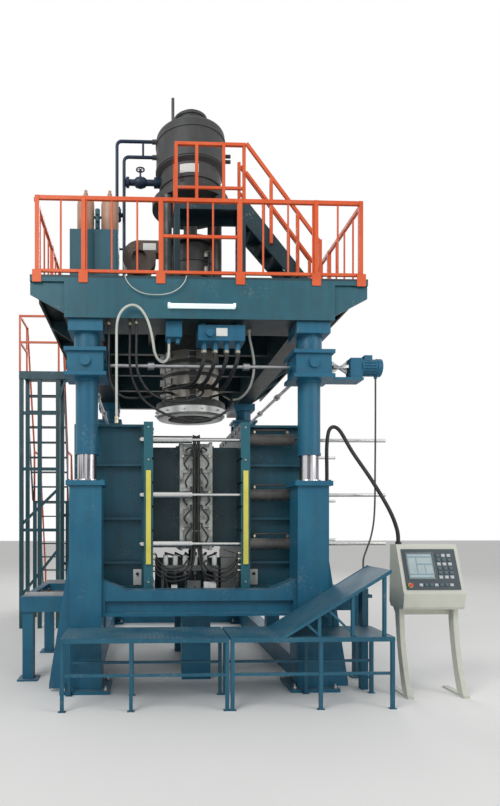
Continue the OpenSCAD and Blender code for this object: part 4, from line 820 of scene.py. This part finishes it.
class CadFinishes:
    """Gives each CAD node the material of its finish."""

    table: dict[Finish, str] = {
        Finish.FRAME: "base_frame front_pillars rear_pillars front_cross_beam clamp_bed lift_jacks lift_gearmotor "
                      "extruder_drive valve_block",
        Finish.CLAMP: "side_frame_left side_frame_right",
        Finish.STEP: "work_steps chute",
        Finish.DECK: "front_beam bottle_cabinet",
        Finish.FLOOR: "deck_frame",
        Finish.PLATEN: "platen_left platen_right",
        Finish.DARK: "upper_platform",
        Finish.STAIR: "stair_tower",
        Finish.BARREL: "head_barrel",
        Finish.ORANGE: "deck_railing upper_railing stair_handrail",
        Finish.YELLOW: "safety_bar_left safety_bar_right",
        Finish.CREAM: "console_housing",
        Finish.TAN: "gas_bottles",
        Finish.NAVY: "head_pipes",
        Finish.OILED: "drive_cylinders deck_blower",
        Finish.CYLINDER: "clamp_cylinders",
        Finish.CHROME: "guide_columns blow_pin drive_rod_left drive_rod_right",
        Finish.STEEL: "front_shaft side_shaft_left side_shaft_right extruder_screw slide_rails",
        Finish.ROD: "tie_rods",
        Finish.MOULD: "mould_half_left mould_half_right",
        Finish.HEAD: "head_body head_piston die_mandrel",
        Finish.BAND: "extruder_barrel",
        Finish.DIE: "die_ring",
        Finish.STAINLESS: "hopper hopper_lid",
        Finish.GREY: "blow_unit",
        Finish.RUBBER: "console_conduit",
        Finish.PANEL: "console_panel",
        Finish.SCREEN: "console_screen",
        Finish.RED: "emergency_button",
        Finish.LAMP: "tube_lamp",
    }

    def build(self, box: Paintbox) -> None:
        """Sets the material slots of the CAD nodes.

        Args:
            box: The finishes.
        """
        for finish, nodes in self.table.items():
            for name in nodes.split():
                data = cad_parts[name].data
                data.materials.clear()
                data.materials.append(box.get(finish))
                log.info("node %s has %s", name, finish.name.lower())


@dataclass
class Portal:
    """Anchors on the foot plates of the pillars."""

    pillar_x: float = 1.4
    pillar_y: float = 2.4
    plate_t: float = 0.04
    hole: float = 0.25
    washer: float = 0.005

    def build(self, box: Paintbox) -> None:
        """Builds the anchors.

        Args:
            box: The finishes.
        """
        anchors, low = Form(), self.plate_t + self.washer
        across, deep = ([centre + hole for centre in (-to, to) for hole in (-self.hole, self.hole)]
                        for to in (self.pillar_x, self.pillar_y))
        for at in product(across, deep):
            anchors.rod((*at, self.plate_t), (*at, low), 0.034, 20)
            anchors.hexagon((*at, low), (*at, low + 0.024), 0.0265)
            anchors.rod((*at, 0.002), (*at, low + 0.05), 0.0145, 16)
        box.put(anchors, "anchor_nuts", Finish.STEEL, "base")


@dataclass
class ClampDress:
    """Fine pieces of the clamp: switch boxes, screws, cooling hoses and cylinder pipes."""

    clamp_y: float = -1.125
    platen_in: float = 0.57
    platen_out: float = 0.69
    platen_y: float = -2.195
    mould_y: float = -2.05
    mould_z: float = 1.7
    mould_h: float = 1.43
    rod_levels: tuple[float, ...] = (1.79, 2.43, 3.15)
    rod_reach: float = 0.99
    cylinder_len: float = 0.585
    port_up: float = 0.108
    switch_x: tuple[float, float] = (0.72, 0.83)
    switch_y: float = -1.945
    nipples: int = 6
    nipple_len: float = 0.016
    hose_r: float = 0.0115
    pipe_r: float = 0.009

    def build(self, box: Paintbox) -> None:
        """Builds the pieces on both carriages.

        Args:
            box: The finishes.
        """
        for side, name in ((-1, "left"), (1, "right")):
            self.switch_box(box, side, name)
            self.platen_screws(box, side, name)
            self.cooling(box, side, name)
        self.cylinder_pipes(box)

    def switch_box(self, box: Paintbox, side: int, name: str) -> None:
        """A white switch box with a dark knob on the front web of a side frame."""
        x, front = sorted(side * edge for edge in self.switch_x), self.switch_y - 0.05
        cover = Form().block((x[0], front, 1.24), (x[1], self.switch_y, 1.45), 0.006)
        middle, gland = sum(x) / 2, self.switch_y - 0.02
        knob = Form().rod((middle, front, 1.39), (middle, front - 0.025, 1.39), 0.02, 24, 0.004)
        knob.rod((middle, gland, 1.24), (middle, gland, 1.216), 0.013, 16)
        box.put(cover, f"switch_box_{name}", Finish.WHITE, f"{name}_carriage")
        box.put(knob, f"switch_knob_{name}", Finish.RUBBER, f"{name}_carriage")

    def platen_screws(self, box: Paintbox, side: int, name: str) -> None:
        """Socket screws along the front edge and the inner face of a platen."""
        screws, x = Form(), side * (self.platen_in + self.platen_out) / 2
        for z in (1.3, 1.98, 2.24, 2.62, 2.88, 3.3):
            screws.rod((x, self.platen_y, z), (x, self.platen_y - 0.012, z), 0.014, 16, 0.002)
        for z, i in product((1.3, 1.5, 3.3), range(7)):
            y = self.clamp_y + (i - 3) * 0.3
            screws.rod((side * self.platen_in, y, z), (side * (self.platen_in - 0.014), y, z), 0.02, 16, 0.002)
        box.put(screws, f"platen_screws_{name}", Finish.STEEL, f"{name}_carriage")

    def cooling(self, box: Paintbox, side: int, name: str) -> None:
        """Rubber jumper hoses between the cooling nipples of a mould half, with their clips."""
        hoses, clips = Form(), Form()
        start, pitch = self.mould_y - self.nipple_len, self.mould_h / self.nipples
        inner, outer = 0.07, 0.13
        for i in range(self.nipples):
            z = self.mould_z + (i + 0.5) * pitch
            for x in (inner, outer):
                clips.rod((side * x, start - 0.022, z), (side * x, start + 0.004, z), 0.0135, 16)
            if i < self.nipples - 1:
                up, bulge = z + pitch, 0.012 * (i % 3)
                hoses.hose(flip(side, [
                    (outer, start - 0.012, z), (outer, start - 0.04, z + 0.01), (0.146 + bulge, start - 0.052, z + 0.06),
                    (0.12 + bulge, start - 0.056, z + pitch / 2), (0.078, start - 0.052, up - 0.06),
                    (inner, start - 0.04, up - 0.01), (inner, start - 0.012, up)]), self.hose_r)
            if i % 2:
                at = (side * 0.175, self.mould_y, z - 0.07)
                clips.rod(at, (at[0], at[1] - 0.02, at[2]), 0.017, 16)
        self.supply(hoses, clips, side, start, pitch)
        box.put(hoses, f"cooling_jumpers_{name}", Finish.RUBBER, f"{name}_carriage")
        box.put(clips, f"hose_clips_{name}", Finish.FITTING, f"{name}_carriage")

    def supply(self, hoses: Form, clips: Form, side: int, start: float, pitch: float) -> None:
        """Supply hoses that run down the parting edge and loop out to the platen.

        Args:
            hoses: The form that takes the hoses.
            clips: The form that takes their nuts and clips.
            side: -1 for the left half, 1 for the right.
            start: Where the nipples end.
            pitch: The distance between two nipples.
        """
        foot, top = self.mould_z + 0.5 * pitch, self.mould_z + (self.nipples - 0.5) * pitch
        wall, over = self.platen_in, self.mould_z + self.mould_h + 0.03
        runs = (
            [(0.13, start - 0.012, top), (0.126, start - 0.05, top + 0.012), (0.07, start - 0.074, top + 0.03),
             (0.028, start - 0.06, top - 0.05), (0.024, start - 0.044, top - 0.2)],
            [(0.0135, self.mould_y + 0.1, over), (0.0135, start - 0.01, top + 0.19), (0.0135, start - 0.03, top + 0.06),
             (0.0135, start - 0.02, top - 0.2)],
            [(0.037, self.mould_y + 0.12, over), (0.037, start - 0.01, top + 0.2), (0.037, start - 0.03, top + 0.07),
             (0.037, start - 0.02, top - 0.2)],
            [(0.07, start - 0.012, foot), (0.07, start - 0.04, foot - 0.008), (0.062, start - 0.05, foot - 0.05)],
        )
        for k, run in enumerate(runs):
            x, y, z = run[-1]
            if z > 2.5:
                run += [(x, y, 2.5), (x, y, 2.1), (x + 0.003, y - 0.004, 1.8)]
            low, end_z, end_y = 1.3 + 0.055 * k, 1.44 + 0.075 * k, self.mould_y - 0.075 - 0.022 * (k % 2)
            run += [(x + 0.02, end_y + 0.01, 1.62 - 0.03 * k), (x + 0.06, end_y, low + 0.11),
                    (x + 0.13, end_y, low + 0.03), ((x + wall) / 2 + 0.04, end_y, low), (wall - 0.13, end_y, low + 0.045),
                    (wall - 0.06, end_y, (low + end_z) / 2 + 0.02), (wall - 0.035, end_y, end_z - 0.008),
                    (wall + 0.004, end_y, end_z)]
            hoses.hose(flip(side, run), self.hose_r)
            clips.hexagon((side * wall, end_y, end_z), (side * (wall - 0.03), end_y, end_z), 0.019)
        x = sorted((side * 0.003, side * 0.05))
        for z in (1.95, 2.43, 2.9):
            clips.block((x[0], start - 0.03, z), (x[1], self.mould_y + 0.026, z + 0.014), 0.003)

    def cylinder_pipes(self, box: Paintbox) -> None:
        """Rigid oil pipes between the ports of the clamp cylinders, with their nuts."""
        pipes, nuts = Form(), Form()
        near, far = self.platen_out + 0.07, self.platen_out + self.cylinder_len - 0.08
        for side, z in product((-1, 1), self.rod_levels):
            y, top = self.clamp_y + side * self.rod_reach, z + self.port_up
            for x in (near, far):
                nuts.hexagon((x, y, top - 0.02), (x, y, top + 0.01), 0.023)
            rise, run = top + 0.014, top + 0.022
            pipes.hose([(near, y, top), (near + 0.004, y, rise), (near + 0.03, y, run), ((near + far) / 2, y, run),
                        (far - 0.03, y, run), (far - 0.004, y, rise), (far, y, top)], self.pipe_r)
        box.put(pipes, "cylinder_pipes", Finish.OILED, "right_carriage")
        box.put(nuts, "cylinder_pipe_nuts", Finish.FITTING, "right_carriage")


@dataclass
class BlowDress:
    """White air cylinders, covers, black hoses and the dark screen of the blow unit.

    A row is given as its first place and its step.
    """

    front: float = -2.01
    low: float = 1.13
    high: float = 1.6
    half: float = 0.54
    wall: float = 0.004
    cylinders: int = 6
    cylinder_row: tuple[float, float] = (-0.4, 0.13)
    front_row: tuple[float, float] = (-0.34, 0.1)
    rear_row: tuple[float, float] = (0.46, -0.15)
    jacket_z: tuple[float, float] = (1.503, 1.632)
    jacket_r: float = 0.034
    front_hose_r: float = 0.016
    rear_hose_r: float = 0.013

    def build(self, box: Paintbox) -> None:
        """Builds the fine pieces of the blow unit.

        Args:
            box: The finishes.
        """
        jackets, hoses, covers, screen = Form(), Form(), Form(), Form()
        y, radius, rim = self.front + 0.03, self.jacket_r, self.jacket_r - 0.003
        foot, head = self.jacket_z
        for i in range(self.cylinders):
            x, end, far = (first + i * step for first, step in (self.cylinder_row, self.front_row, self.rear_row))
            jackets.turned((x, y, foot), (x, y, head), [(0, rim), (0.04, radius), (0.9, radius), (1, rim)], 24)
            hoses.hose([(x, y, 1.38), (x, y - 0.004, 1.33), (x + 0.01, y - 0.03, 1.27),
                        ((x + end) / 2, y - 0.07, 1.2), (end, y - 0.05, 1.16), (end, y, 1.142)], self.front_hose_r)
            hoses.hose([(x, y, 1.645), (x + 0.004, y + 0.012, 1.66), (x + 0.02, y + 0.045, 1.655),
                        ((2 * x + far) / 3, y + 0.06, 1.57), ((x + 2 * far) / 3, y + 0.062, 1.42 + 0.02 * (i % 3)),
                        (far, y + 0.058, 1.27), (far, y + 0.058, 1.132)], self.rear_hose_r)
        for x, out, top in (((0.1, 0.26), 0.09, 1.29), ((-0.33, -0.25), 0.075, 1.25)):
            covers.block((x[0], self.front - out, self.low), (x[1], self.front - 0.01, top), 0.006)
        back, half = self.front + 0.12, self.half
        lip = back + 0.04
        screen.block((-half, back, self.low), (half, back + self.wall, self.high), 0.001)
        screen.block((-half, back, self.low), (half, lip, self.low + self.wall), 0.001)
        for x in (-half, half - self.wall):
            screen.block((x, back, self.low), (x + self.wall, lip, self.high), 0.001)
        box.put(jackets, "air_cylinder_jackets", Finish.WHITE, "base")
        box.put(hoses, "blow_unit_hoses", Finish.RUBBER, "base")
        box.put(covers, "blow_unit_covers", Finish.WHITE, "base")
        box.put(screen, "blow_unit_screen", Finish.DARK, "base")


@dataclass
class HeadDress:
    """Bands, terminal boxes, cables, valve and screws of the head and the barrel."""

    y: float = -1.125
    low_z: float = 3.71
    low_r: float = 0.412
    storage_r: float = 0.37
    storage_z: float = 5.26
    foot_r: float = 0.445
    barrel_z: float = 6.78
    roof_z: float = 7.76
    valve_x: float = -0.956
    valve_z: float = 7.085
    wheel_x: float = -0.74
    spoke: float = 0.056
    bands_up: float = 0.13
    band_pitch: float = 0.18
    band_h: float = 0.128
    band_t: float = 0.0025
    band_ends: tuple[float, float] = (-1.45, -1.7)
    terminal_turns: tuple[float, float] = (-2.45, -2.8)
    terminal_half: float = 0.035
    cable_turns: tuple[float, float] = (-2.2, -0.95)
    cover_pitch: float = 0.21
    cable_r: float = 0.014

    def build(self, box: Paintbox) -> None:
        """Builds the fine pieces of the head.

        Args:
            box: The finishes.
        """
        self.bands(box)
        self.barrel(box)
        self.storage(box)

    def ring(self, form: Form, many: int, shift: float, radius: float, z: float, height: float, head: float) -> None:
        """Adds a ring of hexagon screws round the head's axis.

        Args:
            form: The form that takes them.
            many: How many.
            shift: The first one's place in pitches.
            radius: The ring's radius.
            z: Their lower end.
            height: Their height.
            head: The radius of each.
        """
        for i in range(many):
            at = polar(self.y, radius, math.tau * (i + shift) / many)
            form.hexagon((*at, z), (*at, z + height), head)

    def bands(self, box: Paintbox) -> None:
        """Bright sheet bands round the lower head, with their clamping screws and terminal boxes."""
        bands, screws, covers = Form(), Form(), Form()
        (start, end), half = self.band_ends, self.terminal_half
        for i in range(4):
            z = self.low_z + self.bands_up + i * self.band_pitch
            foot, low, high = z + 0.006, z + 0.03, z + 0.11
            bands.curved((0, self.y, foot), self.low_r, (start, math.tau + end), self.band_h, self.band_t)
            for angle in (start, end):
                x, y = polar(self.y, self.low_r + 0.008, angle)
                bands.block((x - 0.006, y - 0.014, foot), (x + 0.006, y + 0.01, foot + self.band_h), 0.001)
            y = polar(self.y, self.low_r + 0.014, (start + end) / 2)[1]
            for level in (low, high):
                screws.rod((-0.075, y, level), (0.07, y, level), 0.006, 12)
            for angle in self.terminal_turns:
                x, y = polar(self.y, self.low_r + 0.03, angle)
                covers.block((x - half, y - half, low), (x + half, y + half, high), 0.005)
        self.ring(screws, 16, 0.5, 0.468, self.low_z + 0.09, 0.018, 0.019)
        box.put(bands, "lower_head_bands", Finish.BAND)
        box.put(screws, "lower_head_screws", Finish.STEEL)
        box.put(covers, "lower_head_terminals", Finish.WHITE)

    def barrel(self, box: Paintbox) -> None:
        """Flange and roof screws, the bare plate, and the line valve of the barrel."""
        screws, valve, x, z = Form(), Form(), self.wheel_x, self.valve_z
        self.ring(screws, 20, 0.0, self.foot_r + 0.06, self.barrel_z, 0.02, 0.02)
        self.ring(screws, 12, 0.5, 0.33, self.roof_z, 0.016, 0.019)
        front = -math.pi / 2
        plate = Form().curved((0, self.y, 6.99), self.foot_r, (front - 0.42, front + 0.18), 0.12, 0.003)
        valve.turned((self.valve_x, self.y, z), (-self.foot_r + 0.006, self.y, z), [
            (0, 0.05), (0.02, 0.075), (0.1, 0.075), (0.11, 0.045), (0.25, 0.045), (0.3, 0.07), (0.42, 0.085), (0.54, 0.07),
            (0.6, 0.045), (0.8, 0.045), (0.81, 0.075), (0.98, 0.075), (1, 0.07)], 32)
        valve.rod((x, self.y, z + 0.07), (x, self.y, z + 0.2), 0.014, 16)
        valve.washer((x, self.y, z + 0.186), (x, self.y, z + 0.198), 0.05, 0.066)
        for angle in (0.0, math.pi / 3, -math.pi / 3):
            out, deep = polar(0.0, self.spoke, angle)
            valve.rod((x - out, self.y - deep, z + 0.192), (x + out, self.y + deep, z + 0.192), 0.005, 8)
        box.put(screws, "barrel_screws", Finish.STEEL)
        box.put(plate, "barrel_plate", Finish.WHITE)
        box.put(valve, "barrel_valve", Finish.NAVY)

    def storage(self, box: Paintbox) -> None:
        """Terminal boxes and cables of the storage part above the deck."""
        covers, cables, half = Form(), Form(), self.terminal_half
        for i, angle in product(range(4), self.cable_turns):
            x, y = polar(self.y, self.storage_r - 0.01, angle)
            z = self.storage_z + i * self.cover_pitch
            covers.block((x - half, y - 0.05, z - 0.04), (x + half, y + 0.01, z + 0.04), 0.004)
        for angle in self.cable_turns:
            x, y = polar(self.y, self.storage_r + 0.03, angle)
            cables.hose([(x, y - 0.04, 5.9), (x, y - 0.06, 5.7), (x, y - 0.06, 5.4), (x, y - 0.075, 5.25),
                         (x, y - 0.13, 5.16), (x, y - 0.24, 5.135)], self.cable_r)
        box.put(covers, "heater_covers", Finish.BAND)
        box.put(cables, "heater_cables", Finish.RUBBER)


@dataclass
class ExtruderDress:
    """Terminal covers on the heater bands, their conduit, and screws of the gearbox and flanges."""

    axis_z: float = 5.67
    head_y: float = -0.755
    feed_y: float = 1.145
    band_r: float = 0.163
    bands: int = 6
    flange_r: float = 0.19
    gearbox_top: float = 0.33
    foot_z: float = 5.14
    conduit_r: float = 0.013
    conduit_up: float = 0.058

    def build(self, box: Paintbox) -> None:
        """Builds the fine pieces of the extruder.

        Args:
            box: The finishes.
        """
        covers, screws = Form(), Form()
        pitch, top = (self.feed_y - self.head_y - 0.26) / self.bands, self.axis_z + self.band_r
        middles = [self.head_y + 0.095 + (i + 0.5) * pitch for i in range(self.bands)]
        for y in middles:
            covers.block((-0.035, y - 0.05, top - 0.012), (0.035, y + 0.05, top + 0.045), 0.005)
        line = [(0.0, y, top + self.conduit_up) for y in (self.head_y + 0.12, *middles, self.feed_y - 0.13)]
        conduit = Form().hose(line, self.conduit_r, steps=3)
        for i in range(12):
            x, z = polar(self.axis_z, self.flange_r, math.tau * i / 12)
            for y, way in ((self.head_y, 1), (self.feed_y, -1)):
                screws.hexagon((x, y + way * 0.06, z), (x, y + way * 0.078, z), 0.016)
        low = self.axis_z + self.gearbox_top
        for x, y in product((-0.27, -0.05, 0.15, 0.29), (1.62, 2.07)):
            screws.hexagon((x, y, low), (x, y, low + 0.015), 0.014)
        for x, y in product((-0.36, 0.36), (1.65, 2.0, 2.4, 2.8)):
            screws.hexagon((x, y, self.foot_z), (x, y, self.foot_z + 0.018), 0.018)
        box.put(covers, "band_terminal_covers", Finish.GREY)
        box.put(conduit, "band_conduit", Finish.RUBBER)
        box.put(screws, "extruder_screws", Finish.STEEL)


@dataclass
class DeckDress:
    """Hoses under the deck, their nuts, and the bare plates of the valve block and the blower."""

    block_y: float = -2.47
    block_z: float = 4.21
    beam_z: float = 4.54
    head_y: float = -1.125
    head_r: float = 0.4
    head_z: float = 4.0
    turns: tuple[float, ...] = (-0.58, -0.24, 0.1, 0.46)
    port_x: float = 0.06
    port_pitch: float = 0.14
    thick_r: float = 0.026
    port_nut_r: float = 0.034
    joint_nut_r: float = 0.037
    hose_r: float = 0.016
    nut_r: float = 0.026
    nut_len: float = 0.035

    def build(self, box: Paintbox) -> None:
        """Builds the pieces under and on the deck.

        Args:
            box: The finishes.
        """
        self.pressure_hoses(box)
        self.hanging_hoses(box)
        cover = Form().block((0.2, -2.572, 4.36), (0.34, -2.559, 4.46), 0.004)
        plate = Form().block((-0.7, -2.075, 5.64), (-0.53, -2.069, 5.73), 0.001)
        box.put(cover, "valve_block_cover", Finish.WHITE)
        box.put(plate, "blower_plate", Finish.WHITE)

    def pressure_hoses(self, box: Paintbox) -> None:
        """Thick hoses from the valve block down to the lower head."""
        hoses, nuts, y, z, end = Form(), Form(), self.block_y, self.block_z, self.head_z
        for i, turn in enumerate(self.turns):
            x, out_x, out_y = self.port_x + i * self.port_pitch, math.sin(turn), -math.cos(turn)
            ex, ey = self.head_r * out_x, self.head_y + self.head_r * out_y
            nuts.hexagon((x, y, z + 0.012), (x, y, z - 0.03), self.port_nut_r)
            hoses.hose([
                (x, y, z - 0.02), (x, y + 0.008, z - 0.09), (x - 0.03, y + 0.07, z - 0.2),
                (x * 0.6 + ex * 0.4, y * 0.6 + ey * 0.4, end - 0.1 - 0.02 * i),
                (ex + out_x * 0.2, ey + out_y * 0.24, end - 0.08), (ex + out_x * 0.1, ey + out_y * 0.1, end - 0.015),
                (ex + out_x * 0.03, ey + out_y * 0.03, end), (ex - out_x * 0.01, ey - out_y * 0.01, end)],
                self.thick_r, 12)
            nuts.hexagon((ex - out_x * 0.005, ey - out_y * 0.005, end), (ex + out_x * 0.05, ey + out_y * 0.05, end),
                         self.joint_nut_r)
        box.put(hoses, "pressure_hoses", Finish.RUBBER)
        box.put(nuts, "pressure_hose_nuts", Finish.FITTING)

    def hanging_hoses(self, box: Paintbox) -> None:
        """The dark hoses that hang below the deck, and the pale one beside the head."""
        dark, pale, nuts = Form(), Form(), Form()
        runs = (
            [(-0.86, -2.5, 4.3), (-0.86, -2.5, 4.0), (-0.8, -2.46, 3.78), (-0.66, -2.38, 3.58), (-0.35, -2.31, 3.42),
             (0.0, -2.28, 3.36), (0.27, -2.3, 3.43), (0.42, -2.26, 3.55), (0.47, -2.1, 3.66), (0.46, -1.85, 3.77),
             (0.4, -1.6, 3.86)],
            [(-0.78, -2.54, 4.3), (-0.78, -2.54, 4.05), (-0.74, -2.52, 3.86), (-0.6, -2.44, 3.68), (-0.35, -2.36, 3.6),
             (-0.1, -2.32, 3.62), (0.06, -2.2, 3.72), (0.1, -1.9, 3.86), (0.1, -1.6, 3.92)],
            [(-1.12, -2.5, 4.3), (-1.12, -2.5, 3.9), (-1.06, -2.5, 3.72), (-0.92, -2.46, 3.62), (-0.7, -2.3, 3.66),
             (-0.5, -1.95, 3.78), (-0.36, -1.62, 3.88)],
        )
        for run in runs:
            x, y, _ = run[0]
            at = Vector(run[-1])
            axis = Vector((0, self.head_y, at.z))
            inward = (axis - at).normalized()
            goal = axis - inward * self.head_r
            nuts.hexagon(tuple(goal + inward * 0.005), tuple(goal - inward * 0.04), 0.024)
            nuts.hexagon((x, y, self.beam_z), (x, y, self.beam_z - self.nut_len), self.nut_r)
            dark.hose([(x, y, self.beam_z), *run, tuple(goal)], self.hose_r, 12)
        top = (0.66, -2.28, self.beam_z)
        pale.hose([top, (0.665, -2.28, 4.44), (0.7, -2.26, 4.3), (0.735, -2.22, 4.12), (0.73, -2.15, 3.95),
                   (0.69, -2.02, 3.82), (0.6, -1.85, 3.75), (0.5, -1.68, 3.78), (0.42, -1.52, 3.88), (0.36, -1.4, 3.97),
                   (0.31, -1.34, 4.0)], self.hose_r, 12)
        nuts.hexagon(top, (*top[:2], self.beam_z - self.nut_len), self.nut_r)
        nuts.hexagon((0.3, -1.325, 4.004), (0.33, -1.362, 3.986), self.nut_r)
        box.put(dark, "hanging_hoses", Finish.RUBBER)
        box.put(pale, "pale_head_hose", Finish.PALE)
        box.put(nuts, "hanging_hose_nuts", Finish.FITTING)


@dataclass
class ConsoleDress:
    """Keys, screen frame and stop collar of the operator console, in the leaning panel's own axes."""

    x: float = 2.39
    y: float = -2.7
    z: float = 1.25
    top: float = 1.77
    lean: float = 20.0
    key: tuple[float, float] = (0.044, 0.038)
    low_key: tuple[float, float] = (0.042, 0.034)

    def place(self) -> Matrix:
        """The panel's own axes: X across, Z up the slope and -Y outward."""
        lean = math.radians(self.lean)
        back = (self.top - self.z) * math.tan(lean)
        return Matrix.Translation((self.x, self.y - back, self.z)) @ Matrix.Rotation(-lean, 4, "X")

    def plates(self, form: Form, corners: tuple, outer: float, inner: float, edge: float) -> Form:
        """Adds flat plates to the panel.

        Args:
            form: The form that takes them.
            corners: The low and the high corner of each, across and up.
            outer: Where their outer faces lie.
            inner: Where their inner faces lie.
            edge: The radius of their edges.

        Returns:
            The form.
        """
        for low, high in corners:
            form.block((low[0], outer, low[1]), (high[0], inner, high[1]), edge)
        return form

    def build(self, box: Paintbox) -> None:
        """Builds the fine pieces of the console.

        Args:
            box: The finishes.
        """
        keys: dict[bool, list] = {True: [], False: []}
        for i, j in product(range(3), range(6)):
            x, z = 0.457 + i * 0.068, 0.149 + j * 0.054
            keys[(j == 5 and i > 0) or j in (0, 3)].append(((x, z), (x + self.key[0], z + self.key[1])))
        for i in range(7):
            x, z = 0.199 + i * 0.062, 0.055
            keys[i % 3 == 0].append(((x, z), (x + self.low_key[0], z + self.low_key[1])))
        light, dark = (self.plates(Form(), tuple(keys[pale]), -0.0195, -0.0118, 0.004) for pale in (True, False))
        rim = self.plates(Form(), (
            ((0.083, 0.138), (0.427, 0.152)), ((0.083, 0.468), (0.427, 0.482)), ((0.083, 0.15), (0.097, 0.47)),
            ((0.413, 0.15), (0.427, 0.47))), -0.018, -0.0085, 0.003)
        fields = self.plates(Form(), (
            ((0.112, 0.43), (0.398, 0.452)), ((0.112, 0.172), (0.398, 0.194)), ((0.112, 0.212), (0.2, 0.41)),
            ((0.216, 0.34), (0.398, 0.41)), ((0.216, 0.212), (0.3, 0.32)), ((0.314, 0.212), (0.398, 0.32))),
            -0.0094, -0.0084, 0.0)
        collar = Form().washer((0.095, -0.0118, 0.07), (0.095, -0.0134, 0.07), 0.0125, 0.03)
        for form, name, finish, slot in (
                (light, "light_keys", Finish.KEY, ""), (dark, "dark_keys", Finish.DARK_KEY, ""),
                (fields, "screen_fields", Finish.FIELD, ""), (rim, "screen_frame", Finish.GREY, "panel_plastic"),
                (collar, "stop_collar", Finish.YELLOW, "")):
            box.put(form.moved(self.place()), name, finish, "base")


@dataclass
class Studio:
    """Floor, lights, world and camera."""

    focal: float = 572.0
    frame_w: int = 500
    frame_h: int = 806
    sensor: float = 36.0
    eye: Point = (-0.69, -9.575, 2.05)
    yaw: float = -2.0
    shift: tuple[float, float] = (0.107, 0.15)
    floor_half: float = 60.0
    lamps: tuple = (
        ("key", (-6.5, -11.0, 11.0), (0.0, -1.0, 3.2), 6.0, 820.0),
        ("fill", (9.0, -9.0, 7.0), (0.0, -1.0, 3.0), 6.0, 350.0),
        ("rear", (2.0, 11.0, 11.0), (0.0, 0.5, 4.5), 7.0, 480.0),
    )

    def build(self) -> None:
        """Builds the stage and the camera."""
        self.floor()
        self.world()
        for lamp in self.lamps:
            self.lamp(*lamp)
        self.camera()

    def link(self, name: str, data: bpy.types.ID) -> bpy.types.Object:
        """Puts an object with this data into the scene."""
        made = bpy.data.objects.new(name, data)
        bpy.context.scene.collection.objects.link(made)
        return made

    def floor(self) -> None:
        """A plain pale floor."""
        skin = Skin("studio_floor")
        graph = skin.graph
        colour = graph.mix(graph.noise(graph.place(), 0.35, 2.0), (0.80, 0.80, 0.79), (0.86, 0.86, 0.85))
        for key, value in {"Base Color": colour, "Roughness": 0.75}.items():
            graph.feed(skin.shader.inputs[key], value)
        data, far = bpy.data.meshes.new("studio_floor"), self.floor_half
        data.from_pydata([(-far, -far, 0), (far, -far, 0), (far, far, 0), (-far, far, 0)], [], [(0, 1, 2, 3)])
        data.materials.append(skin.made)
        self.link("studio_floor", data)

    def world(self) -> None:
        """White to the camera and in reflections, and a soft pale light on the machine."""
        world = bpy.data.worlds.new("studio")
        world.use_nodes = True
        bpy.context.scene.world = world
        graph, back = Graph(world.node_tree), world.node_tree.nodes["Background"]
        path = graph.add("ShaderNodeLightPath").outputs
        camera, glossy, through = (Value(graph, path[f"Is {kind} Ray"]) for kind in ("Camera", "Glossy", "Transmission"))
        seen = graph.math("MAXIMUM", camera, graph.math("MAXIMUM", glossy, through))
        graph.feed(back.inputs["Strength"], seen * 0.5 + 0.5)
        graph.feed(back.inputs["Color"], (1.0, 1.0, 1.0))

    def lamp(self, name: str, at: Point, to: Point, size: float, power: float) -> None:
        """A square soft lamp that faces a point."""
        data = bpy.data.lights.new(name, "AREA")
        data.size, data.energy = size, power
        made = self.link(name, data)
        made.location = at
        made.rotation_euler = (Vector(to) - Vector(at)).to_track_quat("-Z", "Y").to_euler()

    def camera(self) -> None:
        """The photograph's viewpoint, level, with the shift that its framing needs."""
        data = bpy.data.cameras.new("camera")
        data.sensor_width = self.sensor
        data.lens = self.focal * self.sensor / max(self.frame_w, self.frame_h)
        data.shift_x, data.shift_y = self.shift
        data.clip_end = 200.0
        made = self.link("camera", data)
        made.location = self.eye
        made.rotation_euler = (math.radians(90), 0, math.radians(self.yaw))
        bpy.context.scene.camera = made


def main() -> None:
    """Builds the scene in order."""
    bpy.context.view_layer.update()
    bpy.context.scene.view_settings.view_transform = "Standard"
    Studio().build()
    box = Paintbox()
    for kind in (CadFinishes, Cords, Portal, ClampDress, BlowDress, HeadDress, ExtruderDress, DeckDress, ConsoleDress):
        kind().build(box)
        log.info("built %s", kind.__name__)


if __name__ == "__main__":
    main()
